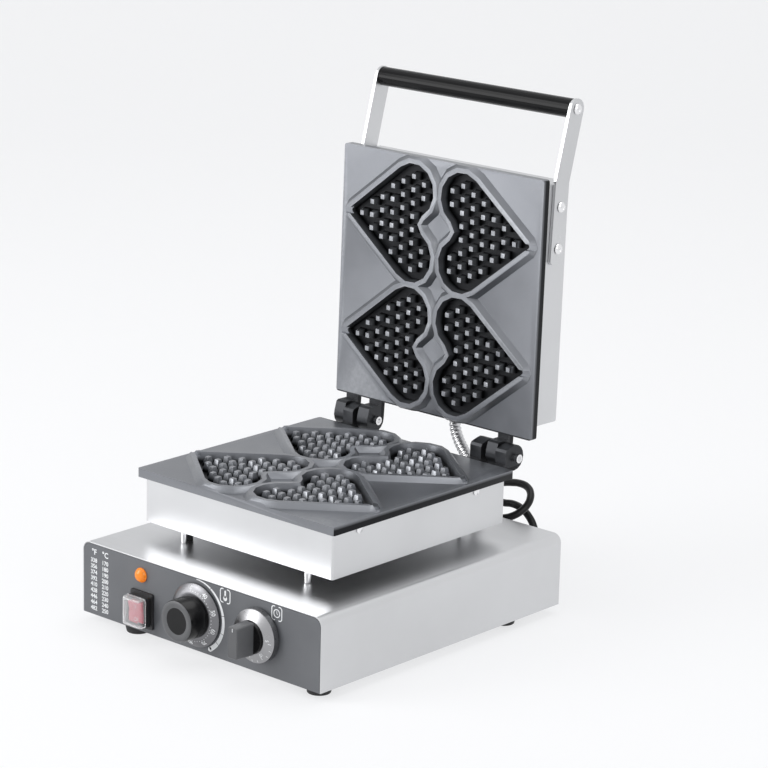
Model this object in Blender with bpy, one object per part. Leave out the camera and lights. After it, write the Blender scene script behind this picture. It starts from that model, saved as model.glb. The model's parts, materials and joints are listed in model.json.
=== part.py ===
"""Countertop heart waffle maker with a hinged lid, modelled piece by piece.

Metres, +Z up. X runs along the front panel, the front panel faces -Y, and z = 0 is the floor.
The lid is modelled shut around its hinge axis and its parent empty turns it open.
"""

import math

import bmesh
import bpy
from mathutils import Vector

# General clearances and facet counts
CLEARANCE = 0.0003
OVERRUN = 0.001
ROUND_SIDES = 24
MIDDLE_SIDES = 16
SMALL_SIDES = 12
SCREW_SIDES = 10
ARC_STEPS = 4
MERGE = 0.000002

# Base housing
BASE_W = 0.305
PLATE_SETBACK = 0.0436
BASE_BEHIND = 0.0414
BASE_TOP_Z = 0.0791
SHEET = 0.001
BEND_R = 0.009
OVERLAY_T = 0.0005
OVERLAY_CORNER_R = 0.0076

# Rubber feet: tops, soles and insets from the sides, the front and the rear of the housing
FOOT_H = 0.0088
FOOT_TOP_R = 0.0127
FOOT_SOLE_R = 0.0108
FOOT_STUD_R = 0.003
FOOT_STUD_RISE = 0.0045
FOOT_LEFT_INSET = 0.0585
FOOT_RIGHT_INSET = 0.0205
FOOT_FRONT_LEFT_INSET = 0.0155
FOOT_FRONT_RIGHT_INSET = 0.0205
FOOT_REAR_INSET = 0.0585

# Spacers that carry the lower heater box, and the black sleeve beside one of them
POST_H = 0.0147
POST_R = 0.0033
POST_STUD_R = 0.002
POST_STUD_REACH = 0.004
POST_SIDE_INSET = 0.040
POST_FRONT_INSET = 0.0112
POST_REAR_INSET = 0.0131
SLEEVE_OUT = 0.0012
SLEEVE_BEHIND_POST = 0.0085
SLEEVE_R = 0.003
SLEEVE_BORE_R = 0.0021
SLEEVE_BELOW = 0.008
SLEEVE_ABOVE = 0.0035

# Cast plates: one casting, used for the lower plate and, turned over, for the upper plate
PLATE_T = 0.0083
PLATE_TOP_Z = 0.1459
PLATE_CORNER_R = 0.0025
RIDGE_H = 0.005
PART_GAP = 0.0003
HINGE_BEHIND = 0.0182
OPEN_DEG = 91.3

# Heart mould: lobes, cleft, tip, ridge and draft. The hearts and their margins give the plate its size.
LOBE_R = 0.0265
LOBE_SPLIT = 0.0055
LOBE_GAP = 0.0045
CLEFT_DEPTH_SHARE = 0.7094
HEART_TIP_X = 0.1145
HEART_TIP_R = 0.003
HEART_ROW_GAP = 0.002
HEART_EDGE = 0.006
HEART_TIP_EDGE = 0.0105
RIDGE_W = 0.0047
RIDGE_SLOPE = 0.0044
MOULD_DEPTH = 0.010
MOULD_DRAFT = 0.002
NOTCH_W = 0.0065
NOTCH_RISE = 0.0008
NOTCH_BEFORE_TIP = 0.0165
LOBE_STEPS = 7
CLEFT_STEPS = 2
TIP_STEPS = 2

# Pegs in each heart, in columns across it
PEG_ROWS = 9
PEG_EDGE = 0.0135
PEG_TIP_GAP = 0.0185
PEG_BASE = 0.008
PEG_TOP = 0.0045
PEG_DROP = 0.001
PEG_COLUMN_COUNTS = (7, 8, 7, 6, 4, 3, 1)
LOBE_COLUMN_SKIP = 3

# Hinge lugs of the casting and the pins through them
LUG_R = 0.0125
LUG_FACE = 0.0139
LUG_FACE_TOP = 0.007
LUG_SHOULDER_IN = 0.0124
LUG_SHOULDER_UP = 0.0095
LUG_EDGE_INSET = 0.014
LUG_OUT_W = 0.0128
LUG_IN_W = 0.0135
FORK_W = 0.044
TONGUE_W = 0.0126
TONGUE_GAP = 0.0008
LUG_WEB = 0.002
PIN_R = 0.003
PIN_TAIL = 0.0048
PIN_SHOW = 0.0028
PIN_HEAD_R = 0.0043
PIN_HEAD_H = 0.0028
PIN_SOCKET_R = 0.0024
PIN_SOCKET_DEPTH = 0.0018
NUT_R = 0.0052
NUT_H = 0.0045

# Sheet boxes round the heaters
BOX_SIDE_INSET = 0.006
BOX_SHEET = 0.0008
BOX_CORNER_R = 0.0016
LOWER_BOX_FRONT_INSET = 0.0057
LOWER_BOX_REAR_INSET = 0.006
UPPER_BOX_FRONT_INSET = 0.0063
UPPER_BOX_REAR_INSET = 0.0102
UPPER_BOX_H = 0.0373
UPPER_BOX_EDGE_R = 0.0022

# Side screws of the lower box, which bite into blocks under the casting
BLOCK_L = 0.014
BLOCK_T = 0.008
BLOCK_H = 0.010
BLOCK_INSET = 0.0018
BOX_SCREW_FRONT_INSET = 0.0342
BOX_SCREW_REAR_INSET = 0.0421
BOX_SCREW_DROP = 0.0037
SCREW_HEAD_R = 0.0037
SCREW_HEAD_H = 0.0022
SCREW_SHANK_R = 0.0018
SCREW_SHANK_L = 0.0085
SCREW_RIM_SHARE = 0.45

# Heaters, clamps and insulation
HEATER_R = 0.0035
HEATER_SIDE_GAP = 0.044
HEATER_END_GAP = 0.050
HEATER_BEND_R = 0.025
HEATER_TAIL_X = 0.018
HEATER_TAIL_L = 0.022
CLAMP_END_GAP = 0.031
CLAMP_W = 0.022
CLAMP_T = 0.0015
CLAMP_BOSS_R = 0.008
CLAMP_SCREW_R = 0.0025
CLAMP_SCREW_HEAD_R = 0.006
CLAMP_SCREW_HEAD_H = 0.0035
CLAMP_SCREW_BITE = 0.006
PAD_POST_GAP = 0.009
PAD_END_GAP = 0.01415
PAD_H = 0.012

# Thermostat bulb under the lower plate and its capillary
BULB_R = 0.003
BULB_L = 0.070
BULB_X = -0.045
BULB_Y = -0.030
CAPILLARY_R = 0.0009
CAPILLARY_LOW = 0.022
CAPILLARY_DIP = 0.014
CAPILLARY_TURN = 0.012
CAPILLARY_BOW = 0.030

# Handle: flat arms, grip tube and their screws
ARM_W = 0.020
ARM_T = 0.003
ARM_LAP = 0.0771
ARM_LOW_Z = 0.0339
ARM_BEND_REACH = 0.001
ARM_BEND_Z = 0.0362
ARM_REACH = 0.0684
ARM_TOP_Z = 0.0524
ARM_CORNER_R = 0.003
ARM_SCREW_NEAR_SHARE = 0.19
ARM_SCREW_FAR_SHARE = 0.70
ARM_SCREW_HEAD_R = 0.0054
ARM_SCREW_HEAD_H = 0.0026
ARM_SCREW_SHANK_R = 0.0024
ARM_SCREW_SHANK_L = 0.0085
GRIP_R = 0.0093
GRIP_BORE_R = 0.0048
ROD_R = 0.0042
ROD_TAP_DEPTH = 0.016
GRIP_SCREW_SHANK_L = 0.014

# Ribbed conduit from the lid's box to the base, seen with the lid open
CONDUIT_R = 0.0058
CONDUIT_ROOT_R = 0.0049
CONDUIT_BORE_R = 0.0038
CONDUIT_RIBS = 25
CONDUIT_X = 0.009
CONDUIT_BELOW_AXIS = 0.0306
CONDUIT_STRAIGHT = 0.012
CONDUIT_LID_REACH = 0.036
CONDUIT_BASE_X = 0.062
CONDUIT_BEHIND_AXIS = 0.0057
CONDUIT_BASE_REACH = 0.050
FERRULE_R = 0.0088
FERRULE_H = 0.008
FERRULE_FLANGE_H = 0.004
FERRULE_SEAT_H = 0.001
FERRULE_WALL = 0.0012
FERRULE_SPIGOT_R = 0.0052
FERRULE_SPIGOT_L = 0.0035

# Indicator lamp
LAMP_X = -0.0735
LAMP_Z = 0.0635
LAMP_R = 0.007
LAMP_STEM_R = 0.0056
LAMP_RIM_H = 0.0015
LAMP_DOME_H = 0.0055
LAMP_STEM_L = 0.016
LAMP_DOME_SHARES = (0.4, 0.75, 0.93)

# Mains switch with its splash hood
SWITCH_X = -0.0715
SWITCH_Z = 0.0310
SWITCH_W = 0.029
SWITCH_H = 0.035
SWITCH_CORNER_R = 0.002
SWITCH_FLANGE_T = 0.0025
SWITCH_COLLAR_W = 0.0252
SWITCH_COLLAR_H = 0.0285
SWITCH_COLLAR_OUT = 0.0085
SWITCH_BACK_W = 0.0215
SWITCH_BACK_H = 0.0275
SWITCH_BACK_L = 0.024
SWITCH_WELL_W = 0.0185
SWITCH_WELL_H = 0.0235
SWITCH_WELL_DEPTH = 0.012
HOOD_OUT = 0.016
HOOD_WALL = 0.0011
HOOD_RIM_R = 0.003
HOOD_RIM_SHARE = 1 / 3
ROCKER_W = 0.0175
ROCKER_H = 0.0204
ROCKER_PIVOT_OUT = 0.0022
ROCKER_END_RISE = 0.0075
ROCKER_MIDDLE_RISE = 0.0059
ROCKER_BELLY = 0.003
ROCKER_REST_DEG = 8.0

# Temperature knob, its shaft and the thermostat
KNOB_X = -0.001
KNOB_Z = 0.0435
KNOB_SKIRT_R = 0.030
KNOB_SKIRT_T = 0.0025
KNOB_CONE_R = 0.0225
KNOB_CONE_OUT = 0.0065
KNOB_GRIP_R = 0.020
KNOB_OUT = 0.027
KNOB_EDGE_R = 0.0012
KNOB_TAPER = 0.0006
KNOB_LIFT = 0.0012
SHAFT_R = 0.003
SHAFT_IN = 0.009
SHAFT_BITE = 0.014
SHAFT_HOLE_R = 0.005
BODY_GAP = 0.0004
THERMOSTAT_W = 0.034
THERMOSTAT_H = 0.044
THERMOSTAT_L = 0.022
THERMOSTAT_PORT_DROP = 0.012

# Timer knob, shaft and clockwork
TIMER_X = 0.078
TIMER_Z = 0.0455
TIMER_SKIRT_R = 0.025
TIMER_SKIRT_T = 0.008
TIMER_CONE_OUT = 0.0115
TIMER_HUB_R = 0.0155
TIMER_HUB_OUT = 0.0145
TIMER_BAR_W = 0.0115
TIMER_BAR_L = 0.030
TIMER_BAR_OUT = 0.035
TIMER_BAR_TAPER = 0.0012
TIMER_BAR_CORNER_SHARE = 1 / 3
TIMER_BODY_R = 0.024
TIMER_BODY_L = 0.030

# Strain relief on the rear panel
GLAND_X = -0.060
GLAND_Z = 0.038
GLAND_FLANGE_R = 0.011
GLAND_FLANGE_T = 0.003
GLAND_NECK_R = 0.0075
GLAND_NOSE_R = 0.0052
GLAND_L = 0.034
GLAND_INSIDE = 0.006

# Mains lead: the free stretch makes a loose hank behind the base and drops to the coil on the floor
CORD_R = 0.0037
CORD_SPACING = 0.011
CORD_ROUTE = (
    (-0.0600, 0.2013, 0.0380),
    (-0.0600, 0.2070, 0.0380),
    (-0.0575, 0.2190, 0.0395),
    (-0.0505, 0.2295, 0.0435),
    (-0.0400, 0.2365, 0.0490),
    (-0.0270, 0.2390, 0.0560),
    (-0.0100, 0.2355, 0.0660),
    (0.0070, 0.2270, 0.0770),
    (0.0230, 0.2180, 0.0870),
    (0.0400, 0.2115, 0.0955),
    (0.0543, 0.2099, 0.0996),
    (0.0683, 0.2089, 0.1016),
    (0.0768, 0.2076, 0.1006),
    (0.0840, 0.2037, 0.0979),
    (0.0889, 0.1979, 0.0939),
    (0.0909, 0.1911, 0.0891),
    (0.0895, 0.1841, 0.0842),
    (0.0851, 0.1780, 0.0799),
    (0.0782, 0.1738, 0.0769),
    (0.0699, 0.1721, 0.0757),
    (0.0463, 0.1721, 0.0763),
    (0.0239, 0.1721, 0.0730),
    (0.0122, 0.1762, 0.0730),
    (0.0042, 0.1858, 0.0730),
    (0.0020, 0.1959, 0.0730),
    (0.0042, 0.2061, 0.0730),
    (0.0122, 0.2157, 0.0730),
    (0.0239, 0.2199, 0.0730),
    (0.0380, 0.2200, 0.0728),
    (0.0500, 0.2200, 0.0742),
    (0.0612, 0.2200, 0.0720),
    (0.0707, 0.2200, 0.0658),
    (0.0772, 0.2200, 0.0565),
    (0.0798, 0.2200, 0.0454),
    (0.0796, 0.2202, 0.0296),
    (0.0770, 0.2229, 0.0188),
    (0.0718, 0.2282, 0.0102),
    (0.0647, 0.2354, 0.0051),
    (0.0589, 0.2413, 0.0039),
    (0.0491, 0.2513, 0.0039),
    (0.0423, 0.2582, 0.0039),
)
COIL_X = 0.0121
COIL_Y = 0.2290
COIL_R = 0.042
COIL_PITCH = 0.0081
COIL_LOW_Z = 0.0039
COIL_LAYER = 0.0079
COIL_START_DEG = 44.4
COIL_END_DEG = 180.0
COIL_TURNS_IN = 1.5
COIL_TURNS_OUT = 1.5
COIL_RISE_TURNS = 0.5
COIL_LOOP_POINTS = 24
COIL_LEAST_GAP = 0.0004
TAIL_BEND_R = 0.032
TAIL_L = 0.010
PLUG_L = 0.036
PLUG_W = 0.030
PLUG_T = 0.024
PLUG_CORNER_R = 0.007
PLUG_RELIEF_L = 0.024
PLUG_RELIEF_R = 0.0065
PLUG_PIN_L = 0.018
PLUG_PIN_R = 0.0024
PLUG_PIN_TIP_R = 0.0017
PLUG_PIN_TIP_L = 0.0012
PLUG_PIN_SPACING = 0.019
PLUG_RING_SHARES = ((0, 0.9, 0.9), (0.08, 1, 1), (0.75, 1, 1), (1, 0.6, 0.7))

# Places that follow from the sizes above
LOBE_Y = LOBE_R + LOBE_SPLIT
HEART_HALF = LOBE_Y + LOBE_R
HEART_ROW_Y = HEART_HALF + HEART_ROW_GAP
LOBE_X = LOBE_GAP + LOBE_R
CLEFT_X = LOBE_GAP + LOBE_R * CLEFT_DEPTH_SHARE
PEG_FIRST_X = LOBE_GAP + PEG_EDGE
PEG_PITCH_X = (HEART_TIP_X - PEG_TIP_GAP - PEG_FIRST_X) / (len(PEG_COLUMN_COUNTS) - 1)
PEG_PITCH_Y = 2 * HEART_HALF / PEG_ROWS
PLATE_W = 2 * (HEART_TIP_X + HEART_TIP_EDGE)
PLATE_D = 2 * (HEART_ROW_Y + HEART_HALF + HEART_EDGE)
BASE_D = PLATE_SETBACK + PLATE_D + BASE_BEHIND
BASE_BOTTOM_Z = FOOT_H
FRONT_Y = -BASE_D / 2
PLATE_FRONT_Y = FRONT_Y + PLATE_SETBACK
REAR_Y = BASE_D / 2
INNER_W = BASE_W - 2 * (SHEET + CLEARANCE)
INNER_TOP_Z = BASE_TOP_Z - SHEET - CLEARANCE
PANEL_Y = FRONT_Y + OVERLAY_T + CLEARANCE
BOX_BOTTOM_Z = BASE_TOP_Z + POST_H
PLATE_BOTTOM_Z = PLATE_TOP_Z - PLATE_T
PLATE_REAR_Y = PLATE_FRONT_Y + PLATE_D
BOX_W = PLATE_W - 2 * BOX_SIDE_INSET
LOWER_BOX_FRONT_Y = PLATE_FRONT_Y + LOWER_BOX_FRONT_INSET
LOWER_BOX_D = PLATE_D - LOWER_BOX_FRONT_INSET - LOWER_BOX_REAR_INSET
LOWER_BOX_REAR_Y = LOWER_BOX_FRONT_Y + LOWER_BOX_D
UPPER_BOX_FRONT_Y = PLATE_FRONT_Y + UPPER_BOX_FRONT_INSET
UPPER_BOX_D = PLATE_D - UPPER_BOX_FRONT_INSET - UPPER_BOX_REAR_INSET
POST_X = BOX_W / 2 - POST_SIDE_INSET
POST_FRONT_Y = LOWER_BOX_FRONT_Y + POST_FRONT_INSET
POST_REAR_Y = LOWER_BOX_REAR_Y - POST_REAR_INSET
SLEEVE_X = -POST_X - SLEEVE_OUT
SLEEVE_Y = POST_FRONT_Y + SLEEVE_BEHIND_POST
BOX_SCREW_FRONT_Y = LOWER_BOX_FRONT_Y + BOX_SCREW_FRONT_INSET
BOX_SCREW_REAR_Y = LOWER_BOX_REAR_Y - BOX_SCREW_REAR_INSET
LUG_OUT_END_X = PLATE_W / 2 - LUG_EDGE_INSET
LUG_IN_END_X = LUG_OUT_END_X - FORK_W
TONGUE_X = LUG_OUT_END_X - LUG_OUT_W - TONGUE_GAP - TONGUE_W / 2
PIN_TAIL_X = LUG_IN_END_X - PIN_TAIL
HINGE_Y = PLATE_REAR_Y + HINGE_BEHIND
HINGE_Z = PLATE_TOP_Z + RIDGE_H + PART_GAP / 2
RIDGE_Z = -PART_GAP / 2
FACE_Z = RIDGE_Z - RIDGE_H
BACK_Z = FACE_Z - PLATE_T
HEART_MIDDLE_Y = -HINGE_BEHIND - PLATE_D / 2
ARM_LOW_Y = UPPER_BOX_FRONT_Y - HINGE_Y + ARM_LAP
ARM_BEND_Y = UPPER_BOX_FRONT_Y - HINGE_Y - ARM_BEND_REACH
ARM_TOP_Y = UPPER_BOX_FRONT_Y - HINGE_Y - ARM_REACH
CONDUIT_BASE_Y = HINGE_Y + CONDUIT_BEHIND_AXIS
MOST_OUT = max(TIMER_BAR_OUT, KNOB_OUT, HOOD_OUT)
OPEN = math.radians(OPEN_DEG)
MOST_BACK = HINGE_Y + ARM_TOP_Y * math.cos(OPEN) + ARM_TOP_Z * math.sin(OPEN) + ARM_W / 2
SHIFT_Y = (MOST_BACK + FRONT_Y - MOST_OUT) / 2
AXES = {"X": (1, 2, 0), "Y": (0, 2, 1), "Z": (0, 1, 2)}


def clear_scene():
    for obj in list(bpy.data.objects):
        bpy.data.objects.remove(obj, do_unlink=True)


# Materials

def make_material(name, colour, roughness, metallic=0.0, alpha=1.0):
    material = bpy.data.materials.new(name)
    material.use_nodes = True
    shader = material.node_tree.nodes["Principled BSDF"]
    shader.inputs["Base Color"].default_value = (*colour, 1.0)
    shader.inputs["Roughness"].default_value = roughness
    shader.inputs["Metallic"].default_value = metallic
    shader.inputs["Alpha"].default_value = alpha
    material.diffuse_color = (*colour, alpha)
    return material


def make_materials():
    return {
        "stainless": make_material("stainless", (0.72, 0.73, 0.74), 0.32, 1.0),
        "casting": make_material("casting", (0.075, 0.08, 0.09), 0.5),
        "chrome": make_material("chrome", (0.85, 0.85, 0.86), 0.12, 1.0),
        "zinc": make_material("zinc", (0.6, 0.6, 0.6), 0.4, 1.0),
        "overlay": make_material("overlay", (0.09, 0.095, 0.105), 0.45),
        "knob_black": make_material("knob_black", (0.02, 0.02, 0.022), 0.3),
        "grip_black": make_material("grip_black", (0.012, 0.012, 0.013), 0.15),
        "rubber": make_material("rubber", (0.02, 0.02, 0.02), 0.75),
        "cord_black": make_material("cord_black", (0.015, 0.015, 0.016), 0.5),
        "amber": make_material("amber", (0.9, 0.35, 0.03), 0.2, 0.0, 0.9),
        "red": make_material("red", (0.7, 0.02, 0.06), 0.3),
        "clear": make_material("clear", (0.9, 0.9, 0.9), 0.1, 0.0, 0.35),
        "fibre": make_material("fibre", (0.8, 0.78, 0.72), 0.95),
        "element": make_material("element", (0.2, 0.19, 0.18), 0.5, 0.7),
    }


# Outlines, as lists of two numbers that run anticlockwise

def arc(centre, radius, start_deg, end_deg, steps):
    angles = (start_deg + (end_deg - start_deg) * i / steps for i in range(steps + 1))
    return [
        (centre[0] + radius * math.cos(math.radians(a)), centre[1] + radius * math.sin(math.radians(a)))
        for a in angles
    ]


def rectangle(width, height, centre=(0.0, 0.0)):
    x, y = centre
    half_w, half_h = width / 2, height / 2
    left, right = x - half_w, x + half_w
    return [(left, y - half_h), (right, y - half_h), (right, y + half_h), (left, y + half_h)]


def rounded_rectangle(width, height, radius, centre=(0.0, 0.0), steps=ARC_STEPS):
    outline = []
    corners = ((-1, -1, 180), (1, -1, 270), (1, 1, 0), (-1, 1, 90))
    for side_x, side_y, start in corners:
        middle = (
            centre[0] + side_x * (width / 2 - radius),
            centre[1] + side_y * (height / 2 - radius),
        )
        outline += arc(middle, radius, start, start + 90, steps)
    return outline


def circle(radius, sides, centre=(0.0, 0.0)):
    return arc(centre, radius, 0, 360, sides)[:-1]


# Meshes

def finish_mesh(bm, name, smooth_deg=30.0):
    bmesh.ops.recalc_face_normals(bm, faces=bm.faces)
    mesh = bpy.data.meshes.new(name)
    bm.to_mesh(mesh)
    bm.free()
    mesh.shade_smooth()
    mesh.set_sharp_from_angle(angle=math.radians(smooth_deg))
    return mesh


def point_on(axis, a, b, along):
    place = [0.0, 0.0, 0.0]
    first, second, third = AXES[axis]
    place[first], place[second], place[third] = a, b, along
    return place


def loft(bm, rings):
    """Closed solid through rings of points that are equal in number."""
    loops = [[bm.verts.new(point) for point in ring] for ring in rings]
    for low, high in zip(loops, loops[1:]):
        for i in range(len(low)):
            j = (i + 1) % len(low)
            bm.faces.new((low[i], low[j], high[j], high[i]))
    bm.faces.new(list(reversed(loops[0])))
    bm.faces.new(loops[-1])


def extruded_mesh(name, outline, low, high, axis):
    bm = bmesh.new()
    loft(bm, [[point_on(axis, a, b, along) for a, b in outline] for along in (low, high)])
    return finish_mesh(bm, name)


def turned_mesh(name, profile, sides, closed=False):
    """Solid of revolution about Z. Each profile point is (radius, height); a closed profile makes a ring."""
    bm = bmesh.new()
    loops = []
    for radius, height in profile:
        if radius == 0:
            loops.append([bm.verts.new((0, 0, height))])
        else:
            loops.append([bm.verts.new((x, y, height)) for x, y in circle(radius, sides)])
    pairs = list(zip(loops, loops[1:]))
    if closed:
        pairs.append((loops[-1], loops[0]))
    for low, high in pairs:
        for i in range(sides):
            j = (i + 1) % sides
            corners = (
                low[i % len(low)],
                low[j % len(low)],
                high[j % len(high)],
                high[i % len(high)],
            )
            bm.faces.new(dict.fromkeys(corners))
    return finish_mesh(bm, name)


def add_object(name, mesh, material, parent, location=(0, 0, 0), rotation=(0, 0, 0)):
    obj = bpy.data.objects.new(name, mesh)
    bpy.context.scene.collection.objects.link(obj)
    if material is not None and mesh is not None and not mesh.materials:
        mesh.materials.append(material)
    obj.parent = parent
    obj.location = location
    obj.rotation_euler = rotation
    return obj


def add_empty(name, parent, location=(0, 0, 0), rotation=(0, 0, 0)):
    return add_object(name, None, None, parent, location, rotation)


def as_helper(obj):
    obj.hide_render = True
    obj.display_type = "WIRE"
    return obj


def combine(target, other, operation):
    modifier = target.modifiers.new(other.name, "BOOLEAN")
    modifier.operation = operation
    modifier.solver = "EXACT"
    modifier.object = as_helper(other)
    return target


def cut(target, other):
    return combine(target, other, "DIFFERENCE")


def fuse(target, other):
    return combine(target, other, "UNION")


def cut_prism(target, name, outline, low, high, axis, location=(0, 0, 0)):
    """Cuts an extruded outline out of the target, in the frame of the target's parent."""
    mesh = extruded_mesh(name, outline, low, high, axis)
    return cut(target, add_object(name, mesh, None, target.parent, location))


def evaluated_mesh(obj, name):
    bpy.context.view_layer.update()
    graph = bpy.context.evaluated_depsgraph_get()
    mesh = bpy.data.meshes.new_from_object(obj.evaluated_get(graph))
    mesh.name = name
    return mesh


def merged_mesh(name, meshes):
    """Separate closed shapes in one mesh, used only as a helper."""
    bm = bmesh.new()
    for mesh in meshes:
        bm.from_mesh(mesh)
    return finish_mesh(bm, name)


# Curves

def smooth_route(points, spacing):
    """Points at an even spacing along a smooth curve through the given ones."""
    points = [Vector(p) for p in points]
    fine = []
    for i in range(len(points) - 1):
        before = points[i - 1] if i else points[i] * 2 - points[i + 1]
        after = points[i + 2] if i + 2 < len(points) else points[i + 1] * 2 - points[i]
        for step in range(20):
            t = step / 20
            fine.append(
                (
                    points[i] * 2
                    + (points[i + 1] - before) * t
                    + (before * 2 - points[i] * 5 + points[i + 1] * 4 - after) * t**2
                    + (points[i] * 3 - before - points[i + 1] * 3 + after) * t**3
                )
                / 2
            )
    fine.append(points[-1])
    return resampled(fine, spacing)


def route_length(points):
    return sum((b - a).length for a, b in zip(points, points[1:]))


def resampled(points, spacing):
    total = route_length(points)
    count = max(2, round(total / spacing))
    result, travelled, index = [points[0]], 0.0, 0
    for i in range(1, count):
        wanted = total * i / count
        while travelled + (points[index + 1] - points[index]).length < wanted:
            travelled += (points[index + 1] - points[index]).length
            index += 1
        part = (wanted - travelled) / (points[index + 1] - points[index]).length
        result.append(points[index].lerp(points[index + 1], part))
    result.append(points[-1])
    return result


def add_tube(name, points, radius, material, parent, resolution=2, radii=None):
    """Round tube with filled ends along the points; radii multiply the radius at each point."""
    curve = bpy.data.curves.new(name, "CURVE")
    curve.dimensions = "3D"
    curve.bevel_depth = radius
    curve.bevel_resolution = resolution
    curve.use_fill_caps = True
    spline = curve.splines.new("POLY")
    spline.points.add(len(points) - 1)
    for i, point in enumerate(points):
        spline.points[i].co = (*point, 1.0)
        spline.points[i].radius = radii[i] if radii else 1.0
    obj = bpy.data.objects.new(name, curve)
    bpy.context.scene.collection.objects.link(obj)
    curve.materials.append(material)
    obj.parent = parent
    return obj


# Base housing

def make_base_cover(machine, mats):
    """Folded sheet: two sides and a top joined by round bends, open at the front, rear and bottom."""
    outer = BASE_W / 2
    inner = outer - SHEET
    outline = [(outer, BASE_BOTTOM_Z)]
    outline += arc((outer - BEND_R, BASE_TOP_Z - BEND_R), BEND_R, 0, 90, ARC_STEPS)
    outline += arc((BEND_R - outer, BASE_TOP_Z - BEND_R), BEND_R, 90, 180, ARC_STEPS)
    outline += [(-outer, BASE_BOTTOM_Z), (-inner, BASE_BOTTOM_Z)]
    outline += arc((BEND_R - outer, BASE_TOP_Z - BEND_R), BEND_R - SHEET, 180, 90, ARC_STEPS)
    outline += arc((outer - BEND_R, BASE_TOP_Z - BEND_R), BEND_R - SHEET, 90, 0, ARC_STEPS)
    outline += [(inner, BASE_BOTTOM_Z)]
    mesh = extruded_mesh("base_cover", outline, FRONT_Y, REAR_Y, "Y")
    cover = add_object("base_cover", mesh, mats["stainless"], machine)
    holes = [
        circle(POST_STUD_R + CLEARANCE, SMALL_SIDES, place)
        for place in post_places().values()
    ]
    holes.append(circle(SLEEVE_R + CLEARANCE, SMALL_SIDES, (SLEEVE_X, SLEEVE_Y)))
    holes.append(circle(FERRULE_SPIGOT_R + CLEARANCE, SMALL_SIDES, (CONDUIT_BASE_X, CONDUIT_BASE_Y)))
    low, high = INNER_TOP_Z - OVERRUN, BASE_TOP_Z + OVERRUN
    holes = [extruded_mesh("hole", outline, low, high, "Z") for outline in holes]
    cut(cover, add_object("cover_holes", merged_mesh("cover_holes", holes), None, machine))


def panel_outline(width, corner_r):
    """Upright panel outline in X and Z with square lower corners and round upper corners."""
    half = width / 2
    top = INNER_TOP_Z
    outline = [(-half, BASE_BOTTOM_Z), (half, BASE_BOTTOM_Z)]
    outline += arc((half - corner_r, top - corner_r), corner_r, 0, 90, ARC_STEPS)
    outline += arc((corner_r - half, top - corner_r), corner_r, 90, 180, ARC_STEPS)
    return outline


def front_openings():
    """Outlines of the openings that the front panel and its overlay share."""
    return [
        circle(LAMP_STEM_R + CLEARANCE, MIDDLE_SIDES, (LAMP_X, LAMP_Z)),
        rectangle(SWITCH_BACK_W + 2 * CLEARANCE, SWITCH_BACK_H + 2 * CLEARANCE, (SWITCH_X, SWITCH_Z)),
        circle(SHAFT_HOLE_R, SMALL_SIDES, (KNOB_X, KNOB_Z)),
        circle(SHAFT_HOLE_R, SMALL_SIDES, (TIMER_X, TIMER_Z)),
    ]


def foot_places():
    return {
        "front_left": (FOOT_LEFT_INSET - BASE_W / 2, FRONT_Y + FOOT_FRONT_LEFT_INSET),
        "front_right": (BASE_W / 2 - FOOT_RIGHT_INSET, FRONT_Y + FOOT_FRONT_RIGHT_INSET),
        "rear_left": (FOOT_LEFT_INSET - BASE_W / 2, REAR_Y - FOOT_REAR_INSET),
        "rear_right": (BASE_W / 2 - FOOT_RIGHT_INSET, REAR_Y - FOOT_REAR_INSET),
    }


def post_places():
    return {
        "front_left": (-POST_X, POST_FRONT_Y),
        "front_right": (POST_X, POST_FRONT_Y),
        "rear_left": (-POST_X, POST_REAR_Y),
        "rear_right": (POST_X, POST_REAR_Y),
    }


def make_chassis_tray(machine, mats):
    """Bottom sheet with an upright panel at the front and one at the rear, in one folded piece."""
    rear_face = REAR_Y - OVERLAY_T - CLEARANCE
    outline = [
        (PANEL_Y, BASE_BOTTOM_Z),
        (rear_face, BASE_BOTTOM_Z),
        (rear_face, INNER_TOP_Z),
        (rear_face - SHEET, INNER_TOP_Z),
        (rear_face - SHEET, BASE_BOTTOM_Z + SHEET),
        (PANEL_Y + SHEET, BASE_BOTTOM_Z + SHEET),
        (PANEL_Y + SHEET, INNER_TOP_Z),
        (PANEL_Y, INNER_TOP_Z),
    ]
    mesh = extruded_mesh("chassis_tray", outline, -INNER_W / 2, INNER_W / 2, "X")
    tray = add_object("chassis_tray", mesh, mats["stainless"], machine)
    trim = extruded_mesh("tray_trim", panel_outline(INNER_W, OVERLAY_CORNER_R), FRONT_Y, REAR_Y, "Y")
    combine(tray, add_object("tray_trim", trim, None, machine), "INTERSECT")
    low, high = PANEL_Y - OVERRUN, PANEL_Y + SHEET + OVERRUN
    holes = [extruded_mesh("hole", outline, low, high, "Y") for outline in front_openings()]
    gland_hole = circle(GLAND_NECK_R + CLEARANCE, SMALL_SIDES, (GLAND_X, GLAND_Z))
    holes.append(extruded_mesh("hole", gland_hole, rear_face - SHEET - OVERRUN, rear_face + OVERRUN, "Y"))
    low, high = BASE_BOTTOM_Z - OVERRUN, BASE_BOTTOM_Z + SHEET + OVERRUN
    for place in foot_places().values():
        outline = circle(FOOT_STUD_R + CLEARANCE, SMALL_SIDES, place)
        holes.append(extruded_mesh("hole", outline, low, high, "Z"))
    cut(tray, add_object("tray_holes", merged_mesh("tray_holes", holes), None, machine))


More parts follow.
